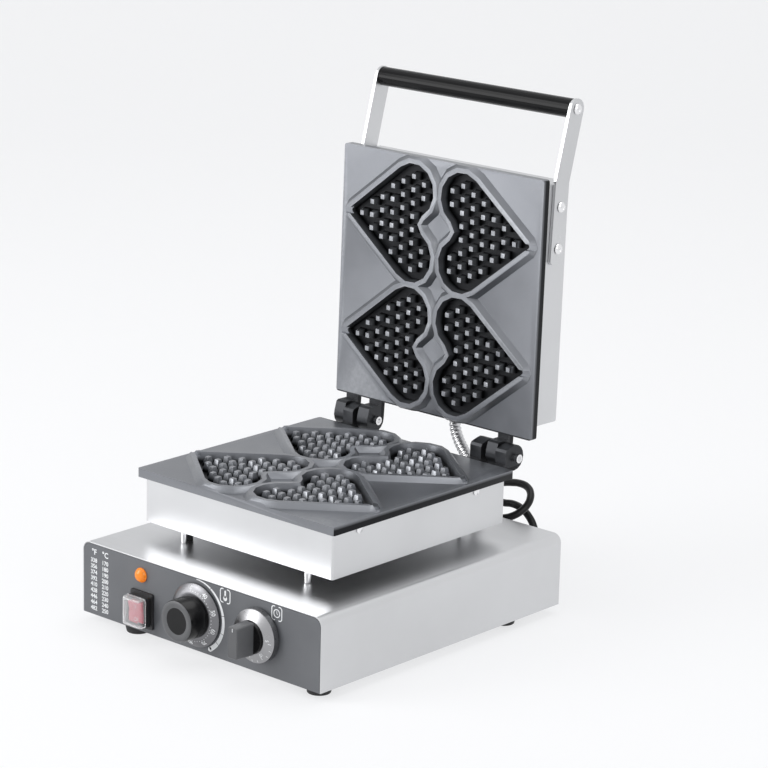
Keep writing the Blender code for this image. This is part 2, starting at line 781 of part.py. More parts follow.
def make_front_overlay(machine, mats):
    outline = panel_outline(INNER_W, OVERLAY_CORNER_R)
    mesh = extruded_mesh("front_overlay", outline, FRONT_Y, FRONT_Y + OVERLAY_T, "Y")
    overlay = add_object("front_overlay", mesh, mats["overlay"], machine)
    low, high = FRONT_Y - OVERRUN, FRONT_Y + OVERLAY_T + OVERRUN
    holes = [extruded_mesh("hole", outline, low, high, "Y") for outline in front_openings()]
    cut(overlay, add_object("overlay_holes", merged_mesh("overlay_holes", holes), None, machine))


def make_feet(machine, mats):
    top = BASE_BOTTOM_Z - CLEARANCE
    profile = [
        (0, 0),
        (FOOT_SOLE_R, 0),
        (FOOT_TOP_R, top),
        (FOOT_STUD_R, top),
        (FOOT_STUD_R, top + FOOT_STUD_RISE),
        (0, top + FOOT_STUD_RISE),
    ]
    mesh = turned_mesh("foot", profile, MIDDLE_SIDES)
    for name, (x, y) in foot_places().items():
        add_object("foot_" + name, mesh, mats["rubber"], machine, (x, y, 0))


def make_posts(machine, mats):
    low = BASE_TOP_Z + CLEARANCE
    high = BOX_BOTTOM_Z - CLEARANCE
    profile = [
        (0, low - SHEET - POST_STUD_REACH),
        (POST_STUD_R, low - SHEET - POST_STUD_REACH),
        (POST_STUD_R, low),
        (POST_R, low),
        (POST_R, high),
        (POST_STUD_R, high),
        (POST_STUD_R, high + BOX_SHEET + POST_STUD_REACH),
        (0, high + BOX_SHEET + POST_STUD_REACH),
    ]
    mesh = turned_mesh("post", profile, SMALL_SIDES)
    for name, (x, y) in post_places().items():
        add_object("post_" + name, mesh, mats["chrome"], machine, (x, y, 0))


def make_wire_sleeve(machine, mats):
    low = BASE_TOP_Z - SHEET - SLEEVE_BELOW
    high = BOX_BOTTOM_Z + BOX_SHEET + SLEEVE_ABOVE
    profile = [(SLEEVE_BORE_R, low), (SLEEVE_R, low), (SLEEVE_R, high), (SLEEVE_BORE_R, high)]
    mesh = turned_mesh("wire_sleeve", profile, SMALL_SIDES, closed=True)
    add_object("wire_sleeve", mesh, mats["rubber"], machine, (SLEEVE_X, SLEEVE_Y, 0))


# Controls on the front panel. Each is built along Z, which its rotation points out of the panel.

def front_rotation():
    return (math.pi / 2, 0, 0)


def make_lamp(machine, mats):
    lens = [(0, -LAMP_STEM_L), (LAMP_STEM_R, -LAMP_STEM_L), (LAMP_STEM_R, CLEARANCE)]
    lens += [(LAMP_R, CLEARANCE), (LAMP_R, LAMP_RIM_H)]
    rise = LAMP_DOME_H - LAMP_RIM_H
    for share in LAMP_DOME_SHARES:
        lens.append((LAMP_R * math.sqrt(1 - share**2), LAMP_RIM_H + rise * share))
    lens.append((0, LAMP_DOME_H))
    place = (LAMP_X, FRONT_Y, LAMP_Z)
    mesh = turned_mesh("indicator_lamp", lens, MIDDLE_SIDES)
    add_object("indicator_lamp", mesh, mats["amber"], machine, place, front_rotation())


def make_switch(machine, mats):
    """Switch frame with a body behind the panel, a rocker in its well and a clear hood on its collar."""
    place = (SWITCH_X, FRONT_Y, SWITCH_Z)
    anchor = add_empty("switch_anchor", machine, place, front_rotation())
    outline = rounded_rectangle(SWITCH_W, SWITCH_H, SWITCH_CORNER_R)
    mesh = extruded_mesh("switch_body", outline, CLEARANCE, SWITCH_FLANGE_T, "Z")
    body = add_object("switch_body", mesh, mats["knob_black"], anchor)
    outline = rounded_rectangle(SWITCH_COLLAR_W, SWITCH_COLLAR_H, SWITCH_CORNER_R)
    mesh = extruded_mesh("switch_collar", outline, SWITCH_FLANGE_T - OVERRUN, SWITCH_COLLAR_OUT, "Z")
    fuse(body, add_object("switch_collar", mesh, None, anchor))
    mesh = extruded_mesh("switch_back", rectangle(SWITCH_BACK_W, SWITCH_BACK_H), -SWITCH_BACK_L, OVERRUN, "Z")
    fuse(body, add_object("switch_back", mesh, None, anchor))
    well = rectangle(SWITCH_WELL_W, SWITCH_WELL_H)
    low = SWITCH_COLLAR_OUT - SWITCH_WELL_DEPTH
    cut_prism(body, "switch_well", well, low, SWITCH_COLLAR_OUT + OVERRUN, "Z")

    seat = SWITCH_COLLAR_OUT + CLEARANCE
    rings = []
    bevel = HOOD_RIM_R * HOOD_RIM_SHARE
    for inset, height in (
        (0, seat),
        (0, HOOD_OUT - HOOD_RIM_R),
        (bevel, HOOD_OUT - bevel),
        (HOOD_RIM_R, HOOD_OUT),
    ):
        size = (SWITCH_COLLAR_W - 2 * inset, SWITCH_COLLAR_H - 2 * inset)
        rings.append([(x, y, height) for x, y in rounded_rectangle(*size, SWITCH_CORNER_R, steps=2)])
    bm = bmesh.new()
    loft(bm, rings)
    hood = add_object("switch_hood", finish_mesh(bm, "switch_hood"), mats["clear"], anchor)
    size = (SWITCH_COLLAR_W - 2 * HOOD_WALL, SWITCH_COLLAR_H - 2 * HOOD_WALL)
    hollow = rounded_rectangle(*size, SWITCH_CORNER_R - HOOD_WALL, steps=2)
    cut_prism(hood, "hood_hollow", hollow, seat - OVERRUN, HOOD_OUT - HOOD_WALL, "Z")

    pivot = add_empty("rocker_pivot", anchor, (0, 0, ROCKER_PIVOT_OUT), (math.radians(ROCKER_REST_DEG), 0, 0))
    half = ROCKER_H / 2
    profile = [(half, 0), (half, ROCKER_END_RISE), (0, ROCKER_MIDDLE_RISE), (-half, ROCKER_END_RISE)]
    profile += [(-half, 0), (0, -ROCKER_BELLY)]
    mesh = extruded_mesh("power_rocker", profile, -ROCKER_W / 2, ROCKER_W / 2, "X")
    add_object("power_rocker", mesh, mats["red"], pivot)


def make_shaft(name, x, z, reach, machine, mats):
    profile = [(0, -SHAFT_IN), (SHAFT_R, -SHAFT_IN), (SHAFT_R, reach), (0, reach)]
    mesh = turned_mesh(name, profile, SMALL_SIDES)
    add_object(name, mesh, mats["zinc"], machine, (x, FRONT_Y, z), front_rotation())


def make_temperature_knob(machine, mats):
    bore = SHAFT_R + CLEARANCE
    floor = KNOB_LIFT + SHAFT_BITE
    profile = [
        (0, floor),
        (bore, floor),
        (bore, KNOB_LIFT),
        (KNOB_SKIRT_R, KNOB_LIFT),
        (KNOB_SKIRT_R, KNOB_SKIRT_T),
        (KNOB_CONE_R, KNOB_CONE_OUT),
        (KNOB_GRIP_R, KNOB_CONE_OUT),
        (KNOB_GRIP_R - KNOB_TAPER, KNOB_OUT - KNOB_EDGE_R),
        (KNOB_GRIP_R - KNOB_TAPER - KNOB_EDGE_R, KNOB_OUT),
        (0, KNOB_OUT),
    ]
    mesh = turned_mesh("temperature_knob", profile, ROUND_SIDES)
    place = (KNOB_X, FRONT_Y, KNOB_Z)
    add_object("temperature_knob", mesh, mats["knob_black"], machine, place, front_rotation())
    make_shaft("thermostat_shaft", KNOB_X, KNOB_Z, floor - CLEARANCE, machine, mats)


def make_thermostat(machine, mats):
    front = PANEL_Y + SHEET + BODY_GAP
    outline = rectangle(THERMOSTAT_W, THERMOSTAT_H, (KNOB_X, KNOB_Z))
    mesh = extruded_mesh("thermostat_body", outline, front, front + THERMOSTAT_L, "Y")
    body = add_object("thermostat_body", mesh, mats["zinc"], machine)
    outline = circle(SHAFT_R + CLEARANCE, SMALL_SIDES, (KNOB_X, KNOB_Z))
    cut_prism(body, "thermostat_bore", outline, front - OVERRUN, FRONT_Y + SHAFT_IN + CLEARANCE, "Y")


def make_timer(machine, mats):
    """Knob with a turned skirt and hub and a bar grip across them, its shaft, and the clockwork."""
    place = (TIMER_X, FRONT_Y, TIMER_Z)
    anchor = add_empty("timer_axis", machine, place, front_rotation())
    bore = SHAFT_R + CLEARANCE
    floor = KNOB_LIFT + SHAFT_BITE
    profile = [
        (bore, KNOB_LIFT),
        (TIMER_SKIRT_R, KNOB_LIFT),
        (TIMER_SKIRT_R, TIMER_SKIRT_T),
        (TIMER_HUB_R, TIMER_CONE_OUT),
        (TIMER_HUB_R, TIMER_HUB_OUT),
        (bore, TIMER_HUB_OUT),
    ]
    knob = add_object("timer_knob", turned_mesh("timer_knob", profile, ROUND_SIDES, closed=True),
                      mats["knob_black"], anchor)
    rings = []
    for inset, height in ((0, TIMER_HUB_OUT - OVERRUN), (TIMER_BAR_TAPER, TIMER_BAR_OUT)):
        size = (TIMER_BAR_W - inset, TIMER_BAR_L - inset)
        corner_r = size[0] * TIMER_BAR_CORNER_SHARE
        rings.append([(x, y, height) for x, y in rounded_rectangle(*size, corner_r)])
    bm = bmesh.new()
    loft(bm, rings)
    fuse(knob, add_object("timer_bar", finish_mesh(bm, "timer_bar"), None, anchor))
    cut_prism(knob, "timer_bore", circle(bore, SMALL_SIDES), TIMER_HUB_OUT - OVERRUN, floor, "Z")
    make_shaft("timer_shaft", TIMER_X, TIMER_Z, floor - CLEARANCE, machine, mats)
    back = FRONT_Y - PANEL_Y - SHEET - BODY_GAP
    bore_end = -SHAFT_IN - CLEARANCE
    profile = [
        (0, back - TIMER_BODY_L),
        (TIMER_BODY_R, back - TIMER_BODY_L),
        (TIMER_BODY_R, back),
        (bore, back),
        (bore, bore_end),
        (0, bore_end),
    ]
    mesh = turned_mesh("timer_body", profile, MIDDLE_SIDES)
    add_object("timer_body", mesh, mats["zinc"], machine, place, front_rotation())


# Cast plate

def heart_sides():
    """Half angle of the tip, from the tangent that runs from the tip to a lobe."""
    far = math.hypot(HEART_TIP_X - LOBE_X, LOBE_Y)
    return math.degrees(math.atan2(LOBE_Y, HEART_TIP_X - LOBE_X) + math.asin(LOBE_R / far))


def cleft_circle():
    """Centre and radius of the arc between the lobes, which touches both of them and passes the cleft."""
    reach = LOBE_X - CLEFT_X
    radius = (reach**2 + LOBE_Y**2 - LOBE_R**2) / (2 * (LOBE_R - reach))
    return CLEFT_X - radius, radius


def heart_outline(offset):
    """Heart on its side, tip towards +X and middle at the origin, moved outwards by the offset."""
    half = heart_sides()
    centre_x, radius = cleft_circle()
    meet = math.degrees(math.atan2(LOBE_Y, LOBE_X - centre_x))
    tip_x = HEART_TIP_X - HEART_TIP_R / math.sin(math.radians(half))
    lower = arc((LOBE_X, -LOBE_Y), LOBE_R + offset, 180 - meet, 270 + half, LOBE_STEPS)
    tip = arc((tip_x, 0), HEART_TIP_R + offset, half - 90, 90 - half, TIP_STEPS)
    upper = arc((LOBE_X, LOBE_Y), LOBE_R + offset, 90 - half, 180 + meet, LOBE_STEPS)
    cleft = arc((centre_x, 0), radius - offset, meet, -meet, CLEFT_STEPS)[1:-1]
    return lower + tip + upper + cleft


def heart_ring(offset, z):
    """The outline as a ring of points for the heart of one quarter of the plate."""
    return [(x, HEART_ROW_Y + y, z) for x, y in heart_outline(offset)]


def peg_places():
    places = []
    for column, count in enumerate(PEG_COLUMN_COUNTS):
        for row in range(1 - count, count, 2):
            if column or abs(row) >= LOBE_COLUMN_SKIP:
                places.append((PEG_FIRST_X + column * PEG_PITCH_X, row * PEG_PITCH_Y / 2))
    return places


def mound_mesh():
    bm = bmesh.new()
    foot = RIDGE_W + RIDGE_SLOPE * (1 + OVERRUN / RIDGE_H)
    loft(bm, [heart_ring(foot, FACE_Z - OVERRUN), heart_ring(RIDGE_W, RIDGE_Z)])
    return finish_mesh(bm, "mound")


def mould_mesh():
    """Hollow of one heart as a solid, with a pit in its floor for each peg."""
    bm = bmesh.new()
    floor_z = RIDGE_Z - MOULD_DEPTH
    over = MOULD_DRAFT * OVERRUN / MOULD_DEPTH
    floor = [bm.verts.new(p) for p in heart_ring(-MOULD_DRAFT, floor_z)]
    top = [bm.verts.new(p) for p in heart_ring(over, RIDGE_Z + OVERRUN)]
    for i in range(len(floor)):
        j = (i + 1) % len(floor)
        bm.faces.new((floor[i], floor[j], top[j], top[i]))
    bm.faces.new(top)
    edges = [bm.edges.get((floor[i - 1], floor[i])) for i in range(len(floor))]
    for x, y in peg_places():
        place = (x, HEART_ROW_Y + y)
        base = [bm.verts.new((*p, floor_z)) for p in rectangle(PEG_BASE, PEG_BASE, place)]
        head = [bm.verts.new((*p, RIDGE_Z - PEG_DROP)) for p in rectangle(PEG_TOP, PEG_TOP, place)]
        for i in range(4):
            j = (i + 1) % 4
            bm.faces.new((base[i], base[j], head[j], head[i]))
            edges.append(bm.edges.get((base[i], base[j])))
        bm.faces.new(head)
    bmesh.ops.triangle_fill(bm, use_beauty=True, use_dissolve=False, edges=edges)
    return finish_mesh(bm, "mould")


def lug_outline():
    """Side view of a hinge lug in Y and Z about the hinge axis, with the web that joins it to the plate."""
    root = -HINGE_BEHIND - LUG_WEB
    outline = [(root, BACK_Z)]
    outline += arc((0, 0), LUG_R, -90, 110, 9)
    outline += [(-LUG_SHOULDER_IN, LUG_SHOULDER_UP), (-LUG_FACE, LUG_FACE_TOP)]
    outline += [(-LUG_FACE, FACE_Z), (root, FACE_Z)]
    return outline


def lug_spans():
    """Fork at the right, tongue at the left, as spans of X."""
    return (
        (LUG_OUT_END_X - LUG_OUT_W, LUG_OUT_END_X),
        (LUG_IN_END_X, LUG_IN_END_X + LUG_IN_W),
        (-TONGUE_X - TONGUE_W / 2, TONGUE_W / 2 - TONGUE_X),
    )


def screw_block_places():
    inner = BOX_W / 2 - BOX_SHEET - BLOCK_INSET - BLOCK_T / 2
    return [(side * inner, y - HINGE_Y) for side in (-1, 1) for y in (BOX_SCREW_FRONT_Y, BOX_SCREW_REAR_Y)]


def make_quarter(frame):
    """One quarter of the plate with its heart, cut square along the two middle lines."""
    half_w, half_d = PLATE_W / 2, PLATE_D / 2
    corner = (half_w - PLATE_CORNER_R, half_d - PLATE_CORNER_R)
    outline = [(0, 0), (half_w, 0)] + arc(corner, PLATE_CORNER_R, 0, 90, 3) + [(0, half_d)]
    quarter = add_object("quarter", extruded_mesh("quarter", outline, BACK_Z, FACE_Z, "Z"), None, frame)
    fuse(quarter, add_object("mound", mound_mesh(), None, frame))
    limit = extruded_mesh("quarter_limit", outline, BACK_Z - OVERRUN, RIDGE_Z + OVERRUN, "Z")
    combine(quarter, add_object("quarter_limit", limit, None, frame), "INTERSECT")
    cut(quarter, add_object("mould", mould_mesh(), None, frame))
    start = HEART_TIP_X - NOTCH_BEFORE_TIP
    end = HEART_TIP_X + RIDGE_W + 2 * RIDGE_SLOPE
    outline = rectangle(end - start, NOTCH_W, ((end + start) / 2, HEART_ROW_Y))
    cut_prism(quarter, "notch", outline, FACE_Z + NOTCH_RISE, RIDGE_Z + OVERRUN, "Z")
    return quarter


def mirror_quarter(mesh):
    """Whole plate from its quarter: the faces on the two middle lines go, and the copies join there."""
    bm = bmesh.new()
    bm.from_mesh(mesh)
    for index, axis in enumerate("XY"):
        inner = [f for f in bm.faces if all(abs(v.co[index]) < MERGE for v in f.verts)]
        bmesh.ops.delete(bm, geom=inner, context="FACES")
        geom = bm.verts[:] + bm.edges[:] + bm.faces[:]
        bmesh.ops.mirror(bm, geom=geom, merge_dist=MERGE, axis=axis)
    bmesh.ops.translate(bm, verts=bm.verts, vec=(0, HEART_MIDDLE_Y, 0))
    return finish_mesh(bm, "casting")


def make_plate_mesh(mats):
    """The casting, with the hinge axis as its X axis and the parting plane at z = 0."""
    frame = add_empty("casting_frame", None)
    quarter = make_quarter(frame)
    mesh = mirror_quarter(evaluated_mesh(quarter, "quarter_cut"))
    bpy.data.objects.remove(quarter)
    casting = add_object("casting", mesh, mats["casting"], frame)

    lugs = [extruded_mesh("lug", lug_outline(), low, high, "X") for low, high in lug_spans()]
    for place in screw_block_places():
        block = rectangle(BLOCK_T, BLOCK_L, place)
        lugs.append(extruded_mesh("screw_block", block, BACK_Z - BLOCK_H, BACK_Z + OVERRUN, "Z"))
    boss_low = BACK_Z - 2 * (HEATER_R + CLEARANCE)
    boss = circle(CLAMP_BOSS_R, SMALL_SIDES, (0, HEART_MIDDLE_Y))
    lugs.append(extruded_mesh("boss", boss, boss_low, BACK_Z + OVERRUN, "Z"))
    fuse(casting, add_object("lugs", merged_mesh("lugs", lugs), None, frame))

    reach = LUG_OUT_END_X + OVERRUN
    holes = [extruded_mesh("pin_hole", circle(PIN_R + CLEARANCE, SMALL_SIDES), -reach, reach, "X")]
    drop = BACK_Z - BOX_SCREW_DROP
    for x, y in screw_block_places():
        side = math.copysign(1, x)
        outer = side * (abs(x) + BLOCK_T / 2 + OVERRUN)
        inner = side * (BOX_W / 2 + CLEARANCE - SCREW_SHANK_L - CLEARANCE)
        outline = circle(SCREW_SHANK_R + CLEARANCE, SMALL_SIDES, (y, drop))
        holes.append(extruded_mesh("screw_hole", outline, min(inner, outer), max(inner, outer), "X"))
    bite = boss_low + CLAMP_SCREW_BITE + CLEARANCE
    outline = circle(CLAMP_SCREW_R + CLEARANCE, SMALL_SIDES, (0, HEART_MIDDLE_Y))
    holes.append(extruded_mesh("clamp_hole", outline, boss_low - OVERRUN, bite, "Z"))
    cut(casting, add_object("casting_holes", merged_mesh("casting_holes", holes), None, frame))
    mesh = evaluated_mesh(casting, "cast_plate")
    bpy.data.objects.remove(casting)
    return mesh


def make_plates(lower_frame, lid, mats):
    mesh = make_plate_mesh(mats)
    add_object("lower_plate", mesh, mats["casting"], lower_frame)
    add_object("upper_plate", mesh, mats["casting"], lid, (0, 0, 0), (0, math.pi, 0))


# Sheet boxes

def screw_mesh(name, head_r, head_h, shank_r, shank_l):
    """Pan-head screw along Z: its head sits on z = 0 and its shank points down."""
    profile = [
        (0, -shank_l),
        (shank_r, -shank_l),
        (shank_r, 0),
        (head_r, 0),
        (head_r, head_h * SCREW_RIM_SHARE),
        (0, head_h),
    ]
    return turned_mesh(name, profile, SCREW_SIDES)


def make_lower_box(machine, mats):
    """Sheet box, open at the top, that stands on the posts."""
    middle = (0, (LOWER_BOX_FRONT_Y + LOWER_BOX_REAR_Y) / 2)
    top = PLATE_BOTTOM_Z - CLEARANCE
    outline = rounded_rectangle(BOX_W, LOWER_BOX_D, BOX_CORNER_R, middle, 2)
    mesh = extruded_mesh("lower_box", outline, BOX_BOTTOM_Z, top, "Z")
    box = add_object("lower_box", mesh, mats["stainless"], machine)
    inner = rounded_rectangle(
        BOX_W - 2 * BOX_SHEET, LOWER_BOX_D - 2 * BOX_SHEET, BOX_CORNER_R - BOX_SHEET, middle, 2
    )
    cut_prism(box, "lower_box_hollow", inner, BOX_BOTTOM_Z + BOX_SHEET, top + OVERRUN, "Z")
    low, high = BOX_BOTTOM_Z - OVERRUN, BOX_BOTTOM_Z + BOX_SHEET + OVERRUN
    holes = []
    for place in post_places().values():
        outline = circle(POST_STUD_R + CLEARANCE, SMALL_SIDES, place)
        holes.append(extruded_mesh("hole", outline, low, high, "Z"))
    outline = circle(SLEEVE_R + CLEARANCE, SMALL_SIDES, (SLEEVE_X, SLEEVE_Y))
    holes.append(extruded_mesh("hole", outline, low, high, "Z"))
    reach = BOX_W / 2 + OVERRUN
    for y in (BOX_SCREW_FRONT_Y, BOX_SCREW_REAR_Y):
        place = (y, PLATE_BOTTOM_Z - BOX_SCREW_DROP)
        outline = circle(SCREW_SHANK_R + CLEARANCE, SMALL_SIDES, place)
        for side in (-1, 1):
            ends = sorted((side * reach, side * (reach - 2 * OVERRUN - BOX_SHEET)))
            holes.append(extruded_mesh("hole", outline, *ends, "X"))
    cut(box, add_object("lower_box_holes", merged_mesh("lower_box_holes", holes), None, machine))

    mesh = screw_mesh("box_screw", SCREW_HEAD_R, SCREW_HEAD_H, SCREW_SHANK_R, SCREW_SHANK_L)
    z = PLATE_BOTTOM_Z - BOX_SCREW_DROP
    for side, side_name in ((-1, "left"), (1, "right")):
        for y, end_name in ((BOX_SCREW_FRONT_Y, "front"), (BOX_SCREW_REAR_Y, "rear")):
            place = (side * (BOX_W / 2 + CLEARANCE), y, z)
            name = f"box_screw_{end_name}_{side_name}"
            add_object(name, mesh, mats["chrome"], machine, place, (0, side * math.pi / 2, 0))


def arm_slope_point(share):
    """Point on the arm's line beside the box, as a share of the way from its low end to its bend."""
    return (
        ARM_LOW_Y + (ARM_BEND_Y - ARM_LOW_Y) * share,
        ARM_LOW_Z + (ARM_BEND_Z - ARM_LOW_Z) * share,
    )


def make_upper_box(lid, mats):
    """Sheet box over the upper heater, open towards the casting, with round edges at its back."""
    low = -BACK_Z + CLEARANCE
    high = low + UPPER_BOX_H
    middle_y = UPPER_BOX_FRONT_Y + UPPER_BOX_D / 2 - HINGE_Y
    rings = []
    turn = [(0, low), (0, high - UPPER_BOX_EDGE_R)]
    for deg in (30, 60, 90):
        angle = math.radians(deg)
        inset = UPPER_BOX_EDGE_R * (1 - math.cos(angle))
        turn.append((inset, high - UPPER_BOX_EDGE_R * (1 - math.sin(angle))))
    for inset, z in turn:
        size = (BOX_W - 2 * inset, UPPER_BOX_D - 2 * inset)
        outline = rounded_rectangle(*size, BOX_CORNER_R, (0, middle_y), 2)
        rings.append([(x, y, z) for x, y in outline])
    bm = bmesh.new()
    loft(bm, rings)
    box = add_object("upper_box", finish_mesh(bm, "upper_box"), mats["stainless"], lid)
    inner = rounded_rectangle(
        BOX_W - 2 * BOX_SHEET, UPPER_BOX_D - 2 * BOX_SHEET, BOX_CORNER_R - BOX_SHEET, (0, middle_y), 2
    )
    cut_prism(box, "upper_box_hollow", inner, low - OVERRUN, high - BOX_SHEET, "Z")
    holes = []
    reach = BOX_W / 2 + OVERRUN
    for share in (ARM_SCREW_NEAR_SHARE, ARM_SCREW_FAR_SHARE):
        outline = circle(ARM_SCREW_SHANK_R + CLEARANCE, SMALL_SIDES, arm_slope_point(share))
        for side in (-1, 1):
            ends = sorted((side * reach, side * (reach - 2 * OVERRUN - BOX_SHEET)))
            holes.append(extruded_mesh("hole", outline, *ends, "X"))
    wall_y = middle_y + UPPER_BOX_D / 2
    outline = circle(FERRULE_SPIGOT_R + CLEARANCE, SMALL_SIDES, (CONDUIT_X, CONDUIT_BELOW_AXIS))
    holes.append(extruded_mesh("hole", outline, wall_y - BOX_SHEET - OVERRUN, wall_y + OVERRUN, "Y"))
    cut(box, add_object("upper_box_holes", merged_mesh("upper_box_holes", holes), None, lid))


# Heaters, clamps, insulation and thermostat bulb

def heater_points():
    """Rounded open square in a plane, with two tails that turn away from the plate."""
    half_x, half_y, bend = BOX_W / 2 - HEATER_SIDE_GAP, PLATE_D / 2 - HEATER_END_GAP, HEATER_BEND_R
    flat = [(HEATER_TAIL_X, -half_y)]
    flat += arc((half_x - bend, bend - half_y), bend, -90, 0, 4)
    flat += arc((half_x - bend, half_y - bend), bend, 0, 90, 4)
    flat += arc((bend - half_x, half_y - bend), bend, 90, 180, 4)
    flat += arc((bend - half_x, bend - half_y), bend, 180, 270, 4)
    flat += [(-HEATER_TAIL_X, -half_y)]
    points = [Vector((x, HEART_MIDDLE_Y + y, 0)) for x, y in flat]
    turn = 2 * HEATER_R
    first = points[0] + Vector((-turn, 0, -turn))
    last = points[-1] + Vector((turn, 0, -turn))
    drop = Vector((0, 0, turn - HEATER_TAIL_L))
    return [first + drop, first] + points + [last, last + drop]


def make_heater_set(prefix, parent, rotation, mats):
    """Tubular heater against the casting, held by a clamp bar and its screw, in the casting's frame."""
    level = BACK_Z - CLEARANCE - HEATER_R
    points = [p + Vector((0, 0, level)) for p in heater_points()]
    heater = add_tube(prefix + "_heater", points, HEATER_R, mats["element"], parent, 1)
    heater.rotation_euler = rotation
    high = level - HEATER_R - CLEARANCE
    frame = add_empty(prefix + "_clamp_frame", parent, (0, 0, 0), rotation)
    outline = rectangle(BOX_W - 2 * CLAMP_END_GAP, CLAMP_W, (0, HEART_MIDDLE_Y))
    mesh = extruded_mesh(prefix + "_clamp", outline, high - CLAMP_T, high, "Z")
    clamp = add_object(prefix + "_clamp", mesh, mats["zinc"], frame)
    outline = circle(CLAMP_SCREW_R + CLEARANCE, SMALL_SIDES, (0, HEART_MIDDLE_Y))
    cut_prism(clamp, prefix + "_clamp_hole", outline, high - CLAMP_T - OVERRUN, high + OVERRUN, "Z")
    seat = high - CLAMP_T - CLEARANCE
    boss_low = BACK_Z - 2 * (HEATER_R + CLEARANCE)
    shank = boss_low + CLAMP_SCREW_BITE - seat
    mesh = screw_mesh(
        prefix + "_clamp_screw", CLAMP_SCREW_HEAD_R, CLAMP_SCREW_HEAD_H, CLAMP_SCREW_R, shank
    )
    place = (0, HEART_MIDDLE_Y, seat)
    add_object(prefix + "_clamp_screw", mesh, mats["zinc"], frame, place, (math.pi, 0, 0))


def make_insulation(machine, mats):
    low = BOX_BOTTOM_Z + BOX_SHEET + CLEARANCE
    size = (2 * (POST_X - PAD_POST_GAP), LOWER_BOX_D - 2 * PAD_END_GAP)
    outline = rounded_rectangle(*size, BOX_CORNER_R, (0, (LOWER_BOX_FRONT_Y + LOWER_BOX_REAR_Y) / 2), 2)
    mesh = extruded_mesh("lower_insulation", outline, low, low + PAD_H, "Z")
    add_object("lower_insulation", mesh, mats["fibre"], machine)


def make_thermostat_bulb(machine, mats):
    """Bulb against the lower plate; its capillary drops through the sleeve and runs to the thermostat."""
    level = PLATE_BOTTOM_Z - CLEARANCE - BULB_R
    turn = CAPILLARY_TURN
    back = PANEL_Y + SHEET + BODY_GAP + THERMOSTAT_L
    route = [
        (BULB_X, BULB_Y + BULB_L, level),
        (BULB_X, BULB_Y, level),
        (BULB_X, BULB_Y - BULB_R, level),
        (BULB_X, BULB_Y - turn, level - BULB_R),
        (BULB_X, BULB_Y - 2 * turn, level - CAPILLARY_DIP),
        (SLEEVE_X + turn, SLEEVE_Y + turn, level - CAPILLARY_DIP),
        (SLEEVE_X, SLEEVE_Y, BOX_BOTTOM_Z + turn + SLEEVE_ABOVE),
        (SLEEVE_X, SLEEVE_Y, BASE_TOP_Z - turn),
        (SLEEVE_X + turn, SLEEVE_Y, CAPILLARY_LOW + turn),
        (KNOB_X - CAPILLARY_BOW, SLEEVE_Y, CAPILLARY_LOW),
        (KNOB_X, back + turn, KNOB_Z - THERMOSTAT_PORT_DROP),
        (KNOB_X, back + CLEARANCE, KNOB_Z - THERMOSTAT_PORT_DROP),
    ]
    thin = CAPILLARY_R / BULB_R
    radii = [1.0, 1.0] + [thin] * (len(route) - 2)
    add_tube("thermostat_bulb", route, BULB_R, mats["element"], machine, 1, radii)


# Hinge pins

def make_hinge(machine, mats):
    length = LUG_OUT_END_X + PIN_SHOW - PIN_TAIL_X
    profile = [
        (0, 0),
        (PIN_R, 0),
        (PIN_R, length),
        (PIN_HEAD_R, length),
        (PIN_HEAD_R, length + PIN_HEAD_H),
        (PIN_SOCKET_R, length + PIN_HEAD_H),
        (PIN_SOCKET_R, length + PIN_HEAD_H - PIN_SOCKET_DEPTH),
        (0, length + PIN_HEAD_H - PIN_SOCKET_DEPTH),
    ]
    mesh = turned_mesh("hinge_pin", profile, SMALL_SIDES)
    hole = extruded_mesh("nut_bore", circle(PIN_R + CLEARANCE, SMALL_SIDES), -OVERRUN, NUT_H + OVERRUN, "Z")
    nut_mesh = extruded_mesh("hinge_nut", circle(NUT_R, 6), 0, NUT_H, "Z")
    total = length + PIN_HEAD_H
    starts = {"right": PIN_TAIL_X, "left": -PIN_TAIL_X - total}
    turn = (0, math.pi / 2, 0)
    for name, start in starts.items():
        place = (start, HINGE_Y, HINGE_Z)
        add_object("hinge_pin_" + name, mesh, mats["chrome"], machine, place, turn)
        tail = LUG_IN_END_X if name == "right" else -LUG_OUT_END_X
        place = (tail - CLEARANCE - NUT_H, HINGE_Y, HINGE_Z)
        nut_object = add_object("hinge_nut_" + name, nut_mesh, mats["zinc"], machine, place, turn)
        cut(nut_object, add_object("nut_bore_" + name, hole, None, machine, place, turn))


# Handle

def arm_outline():
    """Flat strip in Y and Z of the hinge frame: square low end, one bend, and a round top end."""
    low = Vector((ARM_LOW_Y, ARM_LOW_Z))
    bend = Vector((ARM_BEND_Y, ARM_BEND_Z))
    top = Vector((ARM_TOP_Y, ARM_TOP_Z))
    first = (bend - low).normalized()
    second = (top - bend).normalized()
    side_first = Vector((first.y, -first.x)) * ARM_W / 2
    side_second = Vector((second.y, -second.x)) * ARM_W / 2
    mitre = (side_first + side_second).normalized()
    mitre *= (ARM_W / 2) / mitre.dot(side_first.normalized())
    corner = first * ARM_CORNER_R
    near = side_first.normalized() * ARM_CORNER_R
    facing = math.degrees(math.atan2(side_second.y, side_second.x))
    end = arc(top, ARM_W / 2, facing, facing + 180, 8)
    points = [low + side_first + corner, bend + mitre]
    points += [Vector(p) for p in end]
    points += [bend - mitre, low - side_first + corner, low - side_first + near, low + side_first - near]
    return [tuple(p) for p in points]


